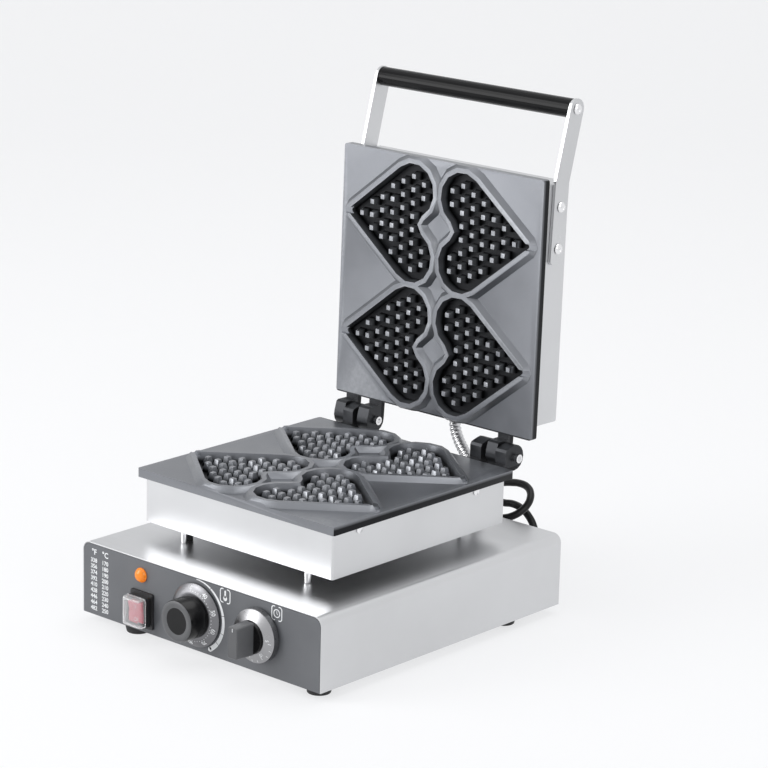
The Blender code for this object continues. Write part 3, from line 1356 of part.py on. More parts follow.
def make_handle(lid, mats):
    inner_x = BOX_W / 2 + CLEARANCE
    grip_place = (0, ARM_TOP_Y, ARM_TOP_Z)
    along_x = (0, math.pi / 2, 0)
    size = (ARM_SCREW_HEAD_R, ARM_SCREW_HEAD_H, ARM_SCREW_SHANK_R)
    screw = screw_mesh("arm_screw", *size, ARM_SCREW_SHANK_L)
    end_screw = screw_mesh("grip_screw", *size, GRIP_SCREW_SHANK_L)
    holes = [arm_slope_point(share) for share in (ARM_SCREW_NEAR_SHARE, ARM_SCREW_FAR_SHARE)]
    holes.append((ARM_TOP_Y, ARM_TOP_Z))
    for side, name in ((-1, "left"), (1, "right")):
        ends = sorted((side * inner_x, side * (inner_x + ARM_T)))
        mesh = extruded_mesh("arm", arm_outline(), *ends, "X")
        arm = add_object("handle_arm_" + name, mesh, mats["stainless"], lid)
        cutters = []
        for place in holes:
            outline = circle(ARM_SCREW_SHANK_R + CLEARANCE, SMALL_SIDES, place)
            cutters.append(extruded_mesh("hole", outline, ends[0] - OVERRUN, ends[1] + OVERRUN, "X"))
        cut(arm, add_object("arm_holes_" + name, merged_mesh("arm_holes", cutters), None, lid))
        seat = side * (inner_x + ARM_T + CLEARANCE)
        turn = (0, side * math.pi / 2, 0)
        for place, end_name in zip(holes, ("low", "high")):
            add_object(f"arm_screw_{end_name}_{name}", screw, mats["chrome"], lid, (seat, *place), turn)
        add_object("grip_screw_" + name, end_screw, mats["chrome"], lid, (seat, *holes[2]), turn)
    half = inner_x - CLEARANCE
    profile = [(GRIP_BORE_R, -half), (GRIP_R, -half), (GRIP_R, half), (GRIP_BORE_R, half)]
    mesh = turned_mesh("handle_grip", profile, ROUND_SIDES, closed=True)
    add_object("handle_grip", mesh, mats["grip_black"], lid, grip_place, along_x)
    tap = ARM_SCREW_SHANK_R + CLEARANCE
    profile = [
        (0, -half + ROD_TAP_DEPTH),
        (tap, -half + ROD_TAP_DEPTH),
        (tap, -half),
        (ROD_R, -half),
        (ROD_R, half),
        (tap, half),
        (tap, half - ROD_TAP_DEPTH),
        (0, half - ROD_TAP_DEPTH),
    ]
    mesh = turned_mesh("handle_rod", profile, SMALL_SIDES)
    add_object("handle_rod", mesh, mats["zinc"], lid, grip_place, along_x)


# Conduit between the lid and the base

def open_point(x, y, z):
    """A point of the shut lid, given about the hinge axis, where it lies with the lid open."""
    return Vector(
        (x, HINGE_Y + y * math.cos(OPEN) + z * math.sin(OPEN), HINGE_Z - y * math.sin(OPEN) + z * math.cos(OPEN))
    )


def conduit_route():
    """Straight and square to the sheet at both ends, with one smooth bend between them."""
    wall_y = UPPER_BOX_FRONT_Y + UPPER_BOX_D - HINGE_Y
    seat = FERRULE_SEAT_H + CLEARANCE
    start = open_point(CONDUIT_X, wall_y + seat, CONDUIT_BELOW_AXIS)
    first = open_point(CONDUIT_X, wall_y + seat + CONDUIT_STRAIGHT, CONDUIT_BELOW_AXIS)
    lead = first + (first - start) * (CONDUIT_LID_REACH / CONDUIT_STRAIGHT)
    end = Vector((CONDUIT_BASE_X, CONDUIT_BASE_Y, BASE_TOP_Z + seat))
    last = end + Vector((0, 0, CONDUIT_STRAIGHT))
    shoulder = last + Vector((0, 0, CONDUIT_BASE_REACH))
    points = [start, start.lerp(first, 1 / 2)]
    for i in range(61):
        t = i / 60
        points.append(
            first * (1 - t) ** 3 + lead * 3 * t * (1 - t) ** 2 + shoulder * 3 * t * t * (1 - t) + last * t**3
        )
    return points + [last.lerp(end, 1 / 2), end]


def curve_mesh(name, points, radius, material, parent, resolution, radii=None):
    """Mesh of a round tube, so that another mesh can cut it."""
    tube = add_tube(name + "_line", points, radius, material, parent, resolution, radii)
    mesh = evaluated_mesh(tube, name)
    bpy.data.objects.remove(tube)
    return mesh


def make_conduit(machine, mats):
    """Ribbed tube with a bore and plain ends, on one smooth curve."""
    fine = conduit_route()
    total = route_length(fine)
    points = resampled(fine, total / (2 * CONDUIT_RIBS + 7))
    root = CONDUIT_ROOT_R / CONDUIT_R
    plain = 4
    radii = [root if i < plain or i > len(points) - 1 - plain or i % 2 else 1.0 for i in range(len(points))]
    mesh = curve_mesh("conduit", points, CONDUIT_R, mats["stainless"], machine, 2, radii)
    conduit = add_object("conduit", mesh, mats["stainless"], machine)
    first = points[0] + (points[0] - points[1]).normalized() * OVERRUN
    last = points[-1] + (points[-1] - points[-2]).normalized() * OVERRUN
    bore = [first] + points[1:-1:4] + [points[-2], last]
    mesh = curve_mesh("conduit_bore", bore, CONDUIT_BORE_R, mats["stainless"], machine, 1)
    cut(conduit, add_object("conduit_bore", mesh, None, machine))
    print("conduit length", round(total, 4))


def make_ferrules(machine, lid, mats):
    """Threaded fittings: a collar round the conduit's end and a spigot through the sheet."""
    bore = CONDUIT_ROOT_R + CLEARANCE
    profile = [
        (CONDUIT_BORE_R, -FERRULE_SPIGOT_L),
        (FERRULE_SPIGOT_R, -FERRULE_SPIGOT_L),
        (FERRULE_SPIGOT_R, CLEARANCE),
        (FERRULE_R, CLEARANCE),
        (FERRULE_R, FERRULE_FLANGE_H),
        (bore + FERRULE_WALL, FERRULE_FLANGE_H),
        (bore + FERRULE_WALL, FERRULE_H),
        (bore, FERRULE_H),
        (bore, FERRULE_SEAT_H),
        (CONDUIT_BORE_R, FERRULE_SEAT_H),
    ]
    mesh = turned_mesh("ferrule", profile, SMALL_SIDES, closed=True)
    place = (CONDUIT_BASE_X, CONDUIT_BASE_Y, BASE_TOP_Z)
    add_object("conduit_ferrule_base", mesh, mats["zinc"], machine, place)
    wall_y = UPPER_BOX_FRONT_Y + UPPER_BOX_D - HINGE_Y
    place = (CONDUIT_X, wall_y, CONDUIT_BELOW_AXIS)
    add_object("conduit_ferrule_lid", mesh, mats["zinc"], lid, place, (-math.pi / 2, 0, 0))


# Mains lead

def make_gland(machine, mats):
    face = REAR_Y - OVERLAY_T
    bore = CORD_R + CLEARANCE
    inside = -SHEET - 2 * CLEARANCE - GLAND_INSIDE
    profile = [
        (bore, inside),
        (GLAND_NECK_R, inside),
        (GLAND_NECK_R, 0),
        (GLAND_FLANGE_R, 0),
        (GLAND_FLANGE_R, GLAND_FLANGE_T),
        (GLAND_NECK_R, GLAND_FLANGE_T),
        (GLAND_NOSE_R, GLAND_L),
        (bore, GLAND_L),
    ]
    mesh = turned_mesh("cord_gland", profile, SMALL_SIDES, closed=True)
    add_object("cord_gland", mesh, mats["rubber"], machine, (GLAND_X, face, GLAND_Z), (-math.pi / 2, 0, 0))


def coil_route():
    """In along the floor, up at the inside, and out again on top; then a bend down to the plug."""
    turns_out = COIL_TURNS_OUT + (COIL_END_DEG - COIL_START_DEG) / 360
    total = COIL_TURNS_IN + turns_out
    count = round(total * COIL_LOOP_POINTS)
    points = []
    for i in range(count + 1):
        turn = total * i / count
        radius = COIL_R - COIL_PITCH * (COIL_TURNS_IN - abs(turn - COIL_TURNS_IN))
        climb = min(1.0, max(0.0, 1 / 2 + (turn - COIL_TURNS_IN) / COIL_RISE_TURNS))
        climb = climb * climb * (3 - 2 * climb)
        angle = math.radians(COIL_START_DEG) + 2 * math.pi * turn
        points.append(
            Vector((
                COIL_X + radius * math.cos(angle),
                COIL_Y + radius * math.sin(angle),
                COIL_LOW_Z + COIL_LAYER * climb,
            ))
        )
    end = points[-1].copy()
    steps = 6
    for i in range(1, steps + 1):
        share = i / steps
        angle = share * math.pi / 2
        drop = share * share * (3 - 2 * share)
        points.append(
            end
            + Vector((
                -TAIL_BEND_R * (1 - math.cos(angle)),
                -TAIL_BEND_R * math.sin(angle),
                -COIL_LAYER * drop,
            ))
        )
    points.append(points[-1] + Vector((-TAIL_L, 0, 0)))
    return points


def least_gap(points, radius, skip):
    """Least gap of a tube to itself between stretches that are more than the skip apart along it."""
    nearest = min(
        (a - b).length
        for i, a in enumerate(points)
        for b in points[i + skip:]
    )
    return nearest - 2 * radius


def make_cord(machine, mats):
    route = smooth_route(CORD_ROUTE, CORD_SPACING)
    add_tube("power_cord", route, CORD_R, mats["cord_black"], machine, 2)
    print("free cord length", round(route_length(route), 3))
    coil = coil_route()
    coil[0] += (coil[1] - coil[0]).normalized() * CLEARANCE
    add_tube("cord_coil", coil, CORD_R, mats["cord_black"], machine, 1)
    print("coil length", round(route_length(coil), 3))
    gap = least_gap(coil, CORD_R, COIL_LOOP_POINTS // 2)
    print("coil's least gap to itself", round(gap, 5), "wanted over", COIL_LEAST_GAP)
    make_plug(coil[-1], machine, mats)


def make_plug(end, machine, mats):
    """Moulded two-pin plug that lies on the floor and points to -X, with its tapered strain relief."""
    rings = []
    lift = max(PLUG_T / 2, PLUG_RELIEF_R) + CLEARANCE
    for share, width, height in PLUG_RING_SHARES:
        size = (PLUG_W * width, PLUG_T * height)
        outline = rounded_rectangle(*size, PLUG_CORNER_R * height, steps=3)
        rings.append([(x, y, PLUG_PIN_L + PLUG_L * share) for x, y in outline])
    bm = bmesh.new()
    loft(bm, rings)
    start = PLUG_PIN_L + PLUG_L
    total = start + PLUG_RELIEF_L
    place = (end.x - CLEARANCE - total, end.y, lift)
    frame = add_empty("plug_frame", machine, place, (math.pi / 2, 0, math.pi / 2))
    plug = add_object("mains_plug", finish_mesh(bm, "mains_plug"), mats["cord_black"], frame)
    droop = end.z - lift
    bm = bmesh.new()
    relief = []
    for radius, height, shift in (
        (PLUG_RELIEF_R, start - OVERRUN, 0),
        (PLUG_RELIEF_R, start, 0),
        (CORD_R + CLEARANCE, total, droop),
    ):
        relief.append([(x, y + shift, height) for x, y in circle(radius, SMALL_SIDES)])
    loft(bm, relief)
    fuse(plug, add_object("plug_relief", finish_mesh(bm, "plug_relief"), None, frame))
    profile = [(0, 0), (PLUG_PIN_TIP_R, 0), (PLUG_PIN_R, PLUG_PIN_TIP_L)]
    profile += [(PLUG_PIN_R, PLUG_PIN_L + OVERRUN), (0, PLUG_PIN_L + OVERRUN)]
    pin = turned_mesh("plug_pin", profile, SMALL_SIDES)
    for side, name in ((-1, "left"), (1, "right")):
        fuse(plug, add_object("plug_pin_" + name, pin, None, frame, (side * PLUG_PIN_SPACING / 2, 0, 0)))


def main():
    clear_scene()
    mats = make_materials()
    machine = add_empty("machine", None, (0, -SHIFT_Y, 0))
    lower_frame = add_empty("lower_frame", machine, (0, HINGE_Y, HINGE_Z))
    lid = add_empty("lid_hinge", machine, (0, HINGE_Y, HINGE_Z), (-OPEN, 0, 0))
    make_base_cover(machine, mats)
    make_chassis_tray(machine, mats)
    make_front_overlay(machine, mats)
    make_feet(machine, mats)
    make_posts(machine, mats)
    make_wire_sleeve(machine, mats)
    make_lamp(machine, mats)
    make_switch(machine, mats)
    make_temperature_knob(machine, mats)
    make_thermostat(machine, mats)
    make_timer(machine, mats)
    make_plates(lower_frame, lid, mats)
    make_lower_box(machine, mats)
    make_upper_box(lid, mats)
    make_heater_set("lower", lower_frame, (0, 0, 0), mats)
    make_heater_set("upper", lid, (0, math.pi, 0), mats)
    make_insulation(machine, mats)
    make_thermostat_bulb(machine, mats)
    make_hinge(machine, mats)
    make_handle(lid, mats)
    make_conduit(machine, mats)
    make_ferrules(machine, lid, mats)
    make_gland(machine, mats)
    make_cord(machine, mats)


main()
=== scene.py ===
# %% [markdown]
# # A heart waffle maker, dressed for its portrait
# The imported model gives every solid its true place. This file adds the finishes, the printed panel and the
# finer shapes: rounded castings, cross-head screws, ribbed conduit, knobs with figures and the mains lead.
# All lengths are metres. +X runs along the front panel, -Y is towards the cook, +Z is up.

# %% Load the frame
import json
import math

import bmesh
import bpy
from mathutils import Matrix, Vector


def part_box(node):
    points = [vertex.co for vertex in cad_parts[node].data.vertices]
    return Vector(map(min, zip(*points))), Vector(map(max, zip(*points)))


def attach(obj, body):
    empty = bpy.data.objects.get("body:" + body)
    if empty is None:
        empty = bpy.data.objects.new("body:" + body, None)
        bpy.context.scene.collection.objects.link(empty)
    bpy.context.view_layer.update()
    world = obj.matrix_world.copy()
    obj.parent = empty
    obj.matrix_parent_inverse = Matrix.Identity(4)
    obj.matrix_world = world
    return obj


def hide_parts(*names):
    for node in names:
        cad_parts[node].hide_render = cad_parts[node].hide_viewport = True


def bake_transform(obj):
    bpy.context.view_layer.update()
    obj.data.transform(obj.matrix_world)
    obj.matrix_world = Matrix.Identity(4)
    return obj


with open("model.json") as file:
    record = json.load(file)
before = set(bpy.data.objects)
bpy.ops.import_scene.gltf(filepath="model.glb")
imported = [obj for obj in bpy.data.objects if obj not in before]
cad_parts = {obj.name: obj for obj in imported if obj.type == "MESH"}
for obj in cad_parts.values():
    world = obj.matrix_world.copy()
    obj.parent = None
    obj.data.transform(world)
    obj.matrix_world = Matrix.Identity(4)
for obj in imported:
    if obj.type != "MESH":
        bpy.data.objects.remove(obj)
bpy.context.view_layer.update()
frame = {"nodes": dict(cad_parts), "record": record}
SHIFT = 0.00584  # the row's origin lies this far behind the housing's middle
print("nodes loaded:", len(frame["nodes"]))


def at(x, y, z):
    """A point given from the middle of the housing, in the row's frame."""
    return Vector((x, y - SHIFT, z))


def new_object(name, data):
    """An object for this data, linked to the scene."""
    thing = bpy.data.objects.new(name, data)
    bpy.context.scene.collection.objects.link(thing)
    return thing


def evaluated_mesh(thing):
    """The object's mesh with its modifiers applied."""
    bpy.context.view_layer.update()
    return bpy.data.meshes.new_from_object(thing.evaluated_get(bpy.context.evaluated_depsgraph_get()))


# %% [markdown]
# ## Camera
# The photograph was taken with a long lens from the right of the front panel and a little above it.
# Its direction, roll and distance were fitted to the straight edges of the housing and the plates.

# %% Camera
AZIMUTH = math.radians(41.40)
ELEVATION = math.radians(15.39)
ROLL = math.radians(1.38)
TARGET = at(0.02882, 0.04723, 0.22553)
DISTANCE = 2.8063

back = Vector((math.sin(AZIMUTH) * math.cos(ELEVATION), -math.cos(AZIMUTH) * math.cos(ELEVATION),
               math.sin(ELEVATION)))
right = Vector((math.cos(AZIMUTH), math.sin(AZIMUTH), 0))
up = back.cross(right)
rolled_right = right * math.cos(ROLL) + up * math.sin(ROLL)
rolled_up = up * math.cos(ROLL) - right * math.sin(ROLL)
lens = bpy.data.cameras.new("portrait_camera")
lens.sensor_width = 36.0
lens.lens = 140.55
lens.clip_end = 50.0
camera = new_object("portrait_camera", lens)
camera.matrix_world = Matrix.Translation(TARGET + back * DISTANCE) @ Matrix(
    (rolled_right, rolled_up, back)
).transposed().to_4x4()
bpy.context.scene.camera = camera
print("camera at", [round(v, 3) for v in camera.location])

# %% [markdown]
# ## Mains lead
# A stiff round lead leaves the rear panel, makes a loose hank that shows beside the lid, and drops to a coil on
# the floor that the housing hides. One Bezier curve with automatic handles keeps every bend smooth.
# Its bevel depth is 1, so each point's radius is the lead's own radius, and Blender's box round it is true.

# %% Mains lead
CORD_R = 0.0037
LEAD_POINTS = [
    (-0.0600, 0.2013, 0.0380), (-0.0600, 0.2070, 0.0380), (-0.0575, 0.2190, 0.0395), (-0.0505, 0.2295, 0.0435),
    (-0.0400, 0.2365, 0.0490), (-0.0270, 0.2390, 0.0560), (-0.0100, 0.2355, 0.0660), (0.0070, 0.2270, 0.0770),
    (0.0230, 0.2180, 0.0870), (0.0400, 0.2115, 0.0955), (0.0543, 0.2099, 0.0996), (0.0683, 0.2089, 0.1016),
    (0.0768, 0.2076, 0.1006), (0.0840, 0.2037, 0.0979), (0.0889, 0.1979, 0.0939), (0.0909, 0.1911, 0.0891),
    (0.0895, 0.1841, 0.0842), (0.0851, 0.1780, 0.0799), (0.0782, 0.1738, 0.0769), (0.0699, 0.1721, 0.0757),
    (0.0463, 0.1721, 0.0763), (0.0239, 0.1721, 0.0730), (0.0122, 0.1762, 0.0730), (0.0042, 0.1858, 0.0730),
    (0.0020, 0.1959, 0.0730), (0.0042, 0.2061, 0.0730), (0.0122, 0.2157, 0.0730), (0.0239, 0.2199, 0.0730),
    (0.0380, 0.2200, 0.0728), (0.0500, 0.2200, 0.0742), (0.0612, 0.2200, 0.0720), (0.0707, 0.2200, 0.0658),
    (0.0772, 0.2200, 0.0565), (0.0798, 0.2200, 0.0454), (0.0796, 0.2202, 0.0296), (0.0770, 0.2229, 0.0188),
    (0.0718, 0.2282, 0.0102), (0.0647, 0.2354, 0.0051), (0.0589, 0.2413, 0.0039), (0.0491, 0.2513, 0.0039),
    (0.0423, 0.2582, 0.0039),
]
COIL_MIDDLE = (0.0121, 0.2290)
COIL_R = 0.042
COIL_PITCH = 0.0081
COIL_LOW_Z = 0.0039
COIL_LAYER = 0.0079
COIL_START = math.radians(44.4)
COIL_END = math.radians(180)
COIL_TURNS_IN = 1.5
COIL_CLIMB_TURNS = 0.5
COIL_STEPS = 20
COIL_TURNS = 3.0 + (COIL_END - COIL_START) / (2 * math.pi)
TAIL_BEND_R = 0.032
TAIL_L = 0.010
TAIL_STEPS = 6


def smooth(share):
    """A soft start and stop between 0 and 1."""
    return share * share * (3 - 2 * share)


def coil_points():
    """In along the floor, up at the inside, out again on top, and a bend down towards the plug."""
    points = []
    count = round(COIL_TURNS * COIL_STEPS)
    for i in range(1, count + 1):
        turn = COIL_TURNS * i / count
        radius = COIL_R - COIL_PITCH * (COIL_TURNS_IN - abs(turn - COIL_TURNS_IN))
        climb = smooth(min(1.0, max(0.0, 0.5 + (turn - COIL_TURNS_IN) / COIL_CLIMB_TURNS)))
        angle = COIL_START + 2 * math.pi * turn
        points.append((COIL_MIDDLE[0] + radius * math.cos(angle), COIL_MIDDLE[1] + radius * math.sin(angle),
                       COIL_LOW_Z + COIL_LAYER * climb))
    x, y, z = points[-1]
    for i in range(1, TAIL_STEPS + 1):
        angle = i / TAIL_STEPS * math.pi / 2
        points.append((x - TAIL_BEND_R * (1 - math.cos(angle)), y - TAIL_BEND_R * math.sin(angle),
                       z - COIL_LAYER * smooth(i / TAIL_STEPS)))
    points.append((points[-1][0] - TAIL_L, points[-1][1], points[-1][2]))
    return points


lead_curve = bpy.data.curves.new("mains_lead", "CURVE")
lead_curve.dimensions = "3D"
lead_curve.bevel_depth = 1.0
lead_curve.bevel_resolution = 5
lead_curve.resolution_u = 6
lead_curve.use_fill_caps = True
lead_spline = lead_curve.splines.new("BEZIER")
lead_route = [at(*p) for p in LEAD_POINTS + coil_points()]
lead_spline.bezier_points.add(len(lead_route) - 1)
for knot, place in zip(lead_spline.bezier_points, lead_route):
    knot.co = place
    knot.handle_left_type = knot.handle_right_type = "AUTO"
    knot.radius = CORD_R
lead = new_object("mains_lead", lead_curve)
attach(lead, "base")
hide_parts("power_cord", "cord_coil")

# %% [markdown]
# ## Shader groups
# Four effects come back in many finishes, so each is a node group: brushed grain for sheet, a cast skin for the
# plates and moulded parts, wear and a painted highlight on raised edges, and a little dust where faces look up.
# A fifth, painted shade in the moulds and on the hinge lugs, belongs to the cast plates and is made beside their
# coating.

# %% Shader group tools
def start_group(name, inputs, outputs):
    """A new group with float or vector inputs and float outputs; gives back its tree and end nodes."""
    tree = bpy.data.node_groups.new(name, "ShaderNodeTree")
    for label, kind, value in inputs:
        socket = tree.interface.new_socket(label, in_out="INPUT", socket_type=kind)
        socket.default_value = value
    for label in outputs:
        tree.interface.new_socket(label, in_out="OUTPUT", socket_type="NodeSocketFloat")
    return tree, tree.nodes.new("NodeGroupInput"), tree.nodes.new("NodeGroupOutput")


def add_node(tree, kind, settings=(), inputs=()):
    """A node with its settings; each input is a socket to link from or a plain value."""
    node = tree.nodes.new(kind)
    for key, value in dict(settings).items():
        setattr(node, key, value)
    for key, value in dict(inputs).items():
        if isinstance(value, bpy.types.NodeSocket):
            tree.links.new(value, node.inputs[key])
        else:
            node.inputs[key].default_value = value
    return node


def maths(tree, operation, first, second):
    return add_node(tree, "ShaderNodeMath", {"operation": operation}, {0: first, 1: second}).outputs[0]


def remap(tree, value, low, high, to_low=0.0, to_high=1.0):
    """The value moved from the range low to high into the range to_low to to_high, and held there."""
    inputs = {"Value": value, "From Min": low, "From Max": high, "To Min": to_low, "To Max": to_high}
    return add_node(tree, "ShaderNodeMapRange", {}, inputs).outputs["Result"]


# %% Brushed grain
grain_tree, grain_in, grain_out = start_group(
    "brushed_grain",
    [("Stretch", "NodeSocketVector", (1.0, 1.0, 1.0)), ("Scale", "NodeSocketFloat", 100.0)],
    ["Grain", "Smudge"],
)
spot = add_node(grain_tree, "ShaderNodeTexCoord").outputs["Object"]
stretched = add_node(grain_tree, "ShaderNodeVectorMath", {"operation": "MULTIPLY"},
                     {0: spot, 1: grain_in.outputs["Stretch"]}).outputs[0]
lines = add_node(grain_tree, "ShaderNodeTexNoise", {},
                 {"Vector": stretched, "Scale": grain_in.outputs["Scale"], "Detail": 4.0, "Roughness": 0.6})
cloud = add_node(grain_tree, "ShaderNodeTexNoise", {}, {"Vector": spot, "Scale": 9.0, "Detail": 3.0})
grain_tree.links.new(remap(grain_tree, lines.outputs["Fac"], 0.3, 0.7), grain_out.inputs["Grain"])
grain_tree.links.new(remap(grain_tree, cloud.outputs["Fac"], 0.35, 0.7), grain_out.inputs["Smudge"])
print("group", grain_tree.name)

# %% Cast skin
skin_tree, skin_in, skin_out = start_group("cast_skin", [("Scale", "NodeSocketFloat", 900.0)], ["Height", "Tone"])
spot = add_node(skin_tree, "ShaderNodeTexCoord").outputs["Object"]
fine = add_node(skin_tree, "ShaderNodeTexNoise", {},
                {"Vector": spot, "Scale": skin_in.outputs["Scale"], "Detail": 3.0, "Roughness": 0.6})
broad = add_node(skin_tree, "ShaderNodeTexNoise", {}, {"Vector": spot, "Scale": 28.0, "Detail": 4.0})
skin_tree.links.new(fine.outputs["Fac"], skin_out.inputs["Height"])
skin_tree.links.new(remap(skin_tree, broad.outputs["Fac"], 0.3, 0.7), skin_out.inputs["Tone"])
print("group", skin_tree.name)

# %% Edge wear with a painted highlight, and dust
# Edges that stand out by pointiness come out lighter: partly wear, partly a painted highlight on the ridges.
wear_highlight_tree, wear_highlight_in, wear_highlight_out = start_group("edge_wear_and_highlight", [("Start", "NodeSocketFloat", 0.52)], ["Mask"])
ridge = add_node(wear_highlight_tree, "ShaderNodeNewGeometry").outputs["Pointiness"]
patch = add_node(wear_highlight_tree, "ShaderNodeTexNoise", {}, {"Scale": 60.0, "Detail": 3.0}).outputs["Fac"]
wear = remap(wear_highlight_tree, maths(wear_highlight_tree, "SUBTRACT", ridge, wear_highlight_in.outputs["Start"]), 0.0, 0.08)
wear_highlight_tree.links.new(maths(wear_highlight_tree, "MULTIPLY", wear, patch), wear_highlight_out.inputs["Mask"])

dust_tree, dust_in, dust_out = start_group("settled_dust", [("Amount", "NodeSocketFloat", 0.1)], ["Mask"])
facing = add_node(dust_tree, "ShaderNodeSeparateXYZ", {},
                  {0: add_node(dust_tree, "ShaderNodeNewGeometry").outputs["Normal"]}).outputs["Z"]
specks = add_node(dust_tree, "ShaderNodeTexNoise", {}, {"Scale": 220.0, "Detail": 4.0}).outputs["Fac"]
upward = maths(dust_tree, "MULTIPLY", remap(dust_tree, facing, 0.4, 1.0), remap(dust_tree, specks, 0.45, 0.7))
dust_tree.links.new(maths(dust_tree, "MULTIPLY", upward, dust_in.outputs["Amount"]), dust_out.inputs["Mask"])
print("groups", wear_highlight_tree.name, dust_tree.name)

# %% [markdown]
# ## Finishes
# Each finish is one Principled shader. Even values sit on its own sockets; only what changes over the surface
# comes through nodes: a colour that drifts, a roughness that follows grain or smudges, and a fine bump.

# %% Finish tools
DUST = (0.5, 0.5, 0.5)


def begin(name, colour, roughness, metallic=0.0, **sockets):
    """A Principled material. Other sockets are given by name, with _ for each space."""
    material = bpy.data.materials.new(name)
    material.use_nodes = True
    shader = material.node_tree.nodes["Principled BSDF"]
    shader.inputs["Base Color"].default_value = (*colour, 1.0)
    shader.inputs["Roughness"].default_value = roughness
    shader.inputs["Metallic"].default_value = metallic
    for key, value in sockets.items():
        shader.inputs[key.replace("_", " ")].default_value = value
    material.diffuse_color = (*colour, 1.0)
    return material, material.node_tree, shader


def use_group(tree, group, **inputs):
    node = add_node(tree, "ShaderNodeGroup", {"node_tree": group})
    for key, value in inputs.items():
        node.inputs[key].default_value = value
    return node


def blend_colours(tree, mask, first, second):
    """From the first colour to the second by a mask; the first may also come from another node."""
    if not isinstance(first, bpy.types.NodeSocket):
        first = (*first, 1.0)
    return add_node(tree, "ShaderNodeMix", {"data_type": "RGBA"}, {0: mask, 6: first, 7: (*second, 1.0)}).outputs[2]


def vary_roughness(tree, shader, mask, low, high):
    tree.links.new(remap(tree, mask, 0.0, 1.0, low, high), shader.inputs["Roughness"])


def bump(tree, shader, height, strength, distance):
    node = add_node(tree, "ShaderNodeBump", {}, {"Height": height, "Strength": strength, "Distance": distance})
    tree.links.new(node.outputs["Normal"], shader.inputs["Normal"])


def sheet_metal(name, colour, roughness, stretch, scale, spread=0.08, **sockets):
    """Metal with a drawn grain, slightly cloudy from handling."""
    material, tree, shader = begin(name, colour, roughness, 1.0, **sockets)
    grain = use_group(tree, grain_tree, Stretch=stretch, Scale=scale)
    darker = tuple(c * 0.93 for c in colour)
    tint = blend_colours(tree, grain.outputs["Smudge"], colour, darker)
    tree.links.new(tint, shader.inputs["Base Color"])
    mixed = maths(tree, "ADD", maths(tree, "MULTIPLY", grain.outputs["Grain"], 0.6),
                  maths(tree, "MULTIPLY", grain.outputs["Smudge"], 0.4))
    vary_roughness(tree, shader, mixed, roughness - spread / 2, roughness + spread / 2)
    bump(tree, shader, grain.outputs["Grain"], 0.03, 0.0002)
    return material


def moulded(name, colour, roughness, lighter, scale=900.0, strength=0.05, dust=0.05, **sockets):
    """Plastic, rubber or coating with a fine skin, a drifting tone and a little dust."""
    material, tree, shader = begin(name, colour, roughness, **sockets)
    skin = use_group(tree, skin_tree, Scale=scale)
    dusty = use_group(tree, dust_tree, Amount=dust)
    tone = blend_colours(tree, skin.outputs["Tone"], colour, lighter)
    layer = blend_colours(tree, dusty.outputs["Mask"], tone, DUST)
    tree.links.new(layer, shader.inputs["Base Color"])
    vary_roughness(tree, shader, skin.outputs["Tone"], roughness - 0.03, roughness + 0.05)
    bump(tree, shader, skin.outputs["Height"], strength, 0.0005)
    return material


# %% [markdown]
# ### Metals
# The housing, boxes and arms are satin stainless sheet. Its grain runs from side to side on the sheets and up the
# arms. Screws, posts and pins are bright plated steel. Hidden brackets and nuts are duller zinc plate.

# %% Metals
SATIN = (0.66, 0.665, 0.675)
steel_x = sheet_metal("satin_steel_long_x", SATIN, 0.33, (2.0, 60.0, 60.0), 9.0)
steel_z = sheet_metal("satin_steel_long_z", SATIN, 0.30, (60.0, 60.0, 2.0), 9.0)
chrome = sheet_metal("bright_plate", (0.86, 0.86, 0.87), 0.10, (1.0, 1.0, 1.0), 160.0, 0.04)
zinc = sheet_metal("zinc_plate", (0.58, 0.59, 0.60), 0.34, (1.0, 1.0, 1.0), 120.0, 0.1)
element = sheet_metal("oxidised_element", (0.22, 0.20, 0.19), 0.5, (1.0, 1.0, 1.0), 90.0, 0.12)
print("metals:", steel_x.name, chrome.name, zinc.name)

# %% [markdown]
# ### Cast coating
# The plates are cast and coated dark grey. The skin is finely grained, the raised ridges are lighter, partly wear
# and partly a painted highlight, and a satin gloss gives long soft highlights on the slopes. Painted shade darkens
# the bottoms of the moulds and the hinge lugs, which the mask finds by their place in the casting's own frame.

# %% Painted recess shade
# Painted shade: the colour darkens towards the bottoms of the moulds and on the hinge lugs, where shade falls.
LUG_SHADE = 0.88
recess_shade_tree, recess_shade_in, recess_shade_out = start_group(
    "painted_recess_shade", [("Top", "NodeSocketFloat", -0.0052), ("Bottom", "NodeSocketFloat", -0.0085),
                    ("Lug Start", "NodeSocketFloat", -0.0195), ("Front Edge", "NodeSocketFloat", -0.2675)], ["Mask"]
)
own_place = add_node(recess_shade_tree, "ShaderNodeTexCoord").outputs["Object"]
place = add_node(recess_shade_tree, "ShaderNodeSeparateXYZ", {}, {0: own_place})
deep = remap(recess_shade_tree, place.outputs["Z"], recess_shade_in.outputs["Top"], recess_shade_in.outputs["Bottom"])
inside = maths(recess_shade_tree, "GREATER_THAN", place.outputs["Y"], recess_shade_in.outputs["Front Edge"])
lug = maths(recess_shade_tree, "GREATER_THAN", place.outputs["Y"], recess_shade_in.outputs["Lug Start"])
in_moulds = maths(recess_shade_tree, "MULTIPLY", deep, inside)
on_lugs = maths(recess_shade_tree, "MULTIPLY", lug, LUG_SHADE)
recess_shade_tree.links.new(maths(recess_shade_tree, "MAXIMUM", in_moulds, on_lugs), recess_shade_out.inputs["Mask"])
print("group", recess_shade_tree.name)


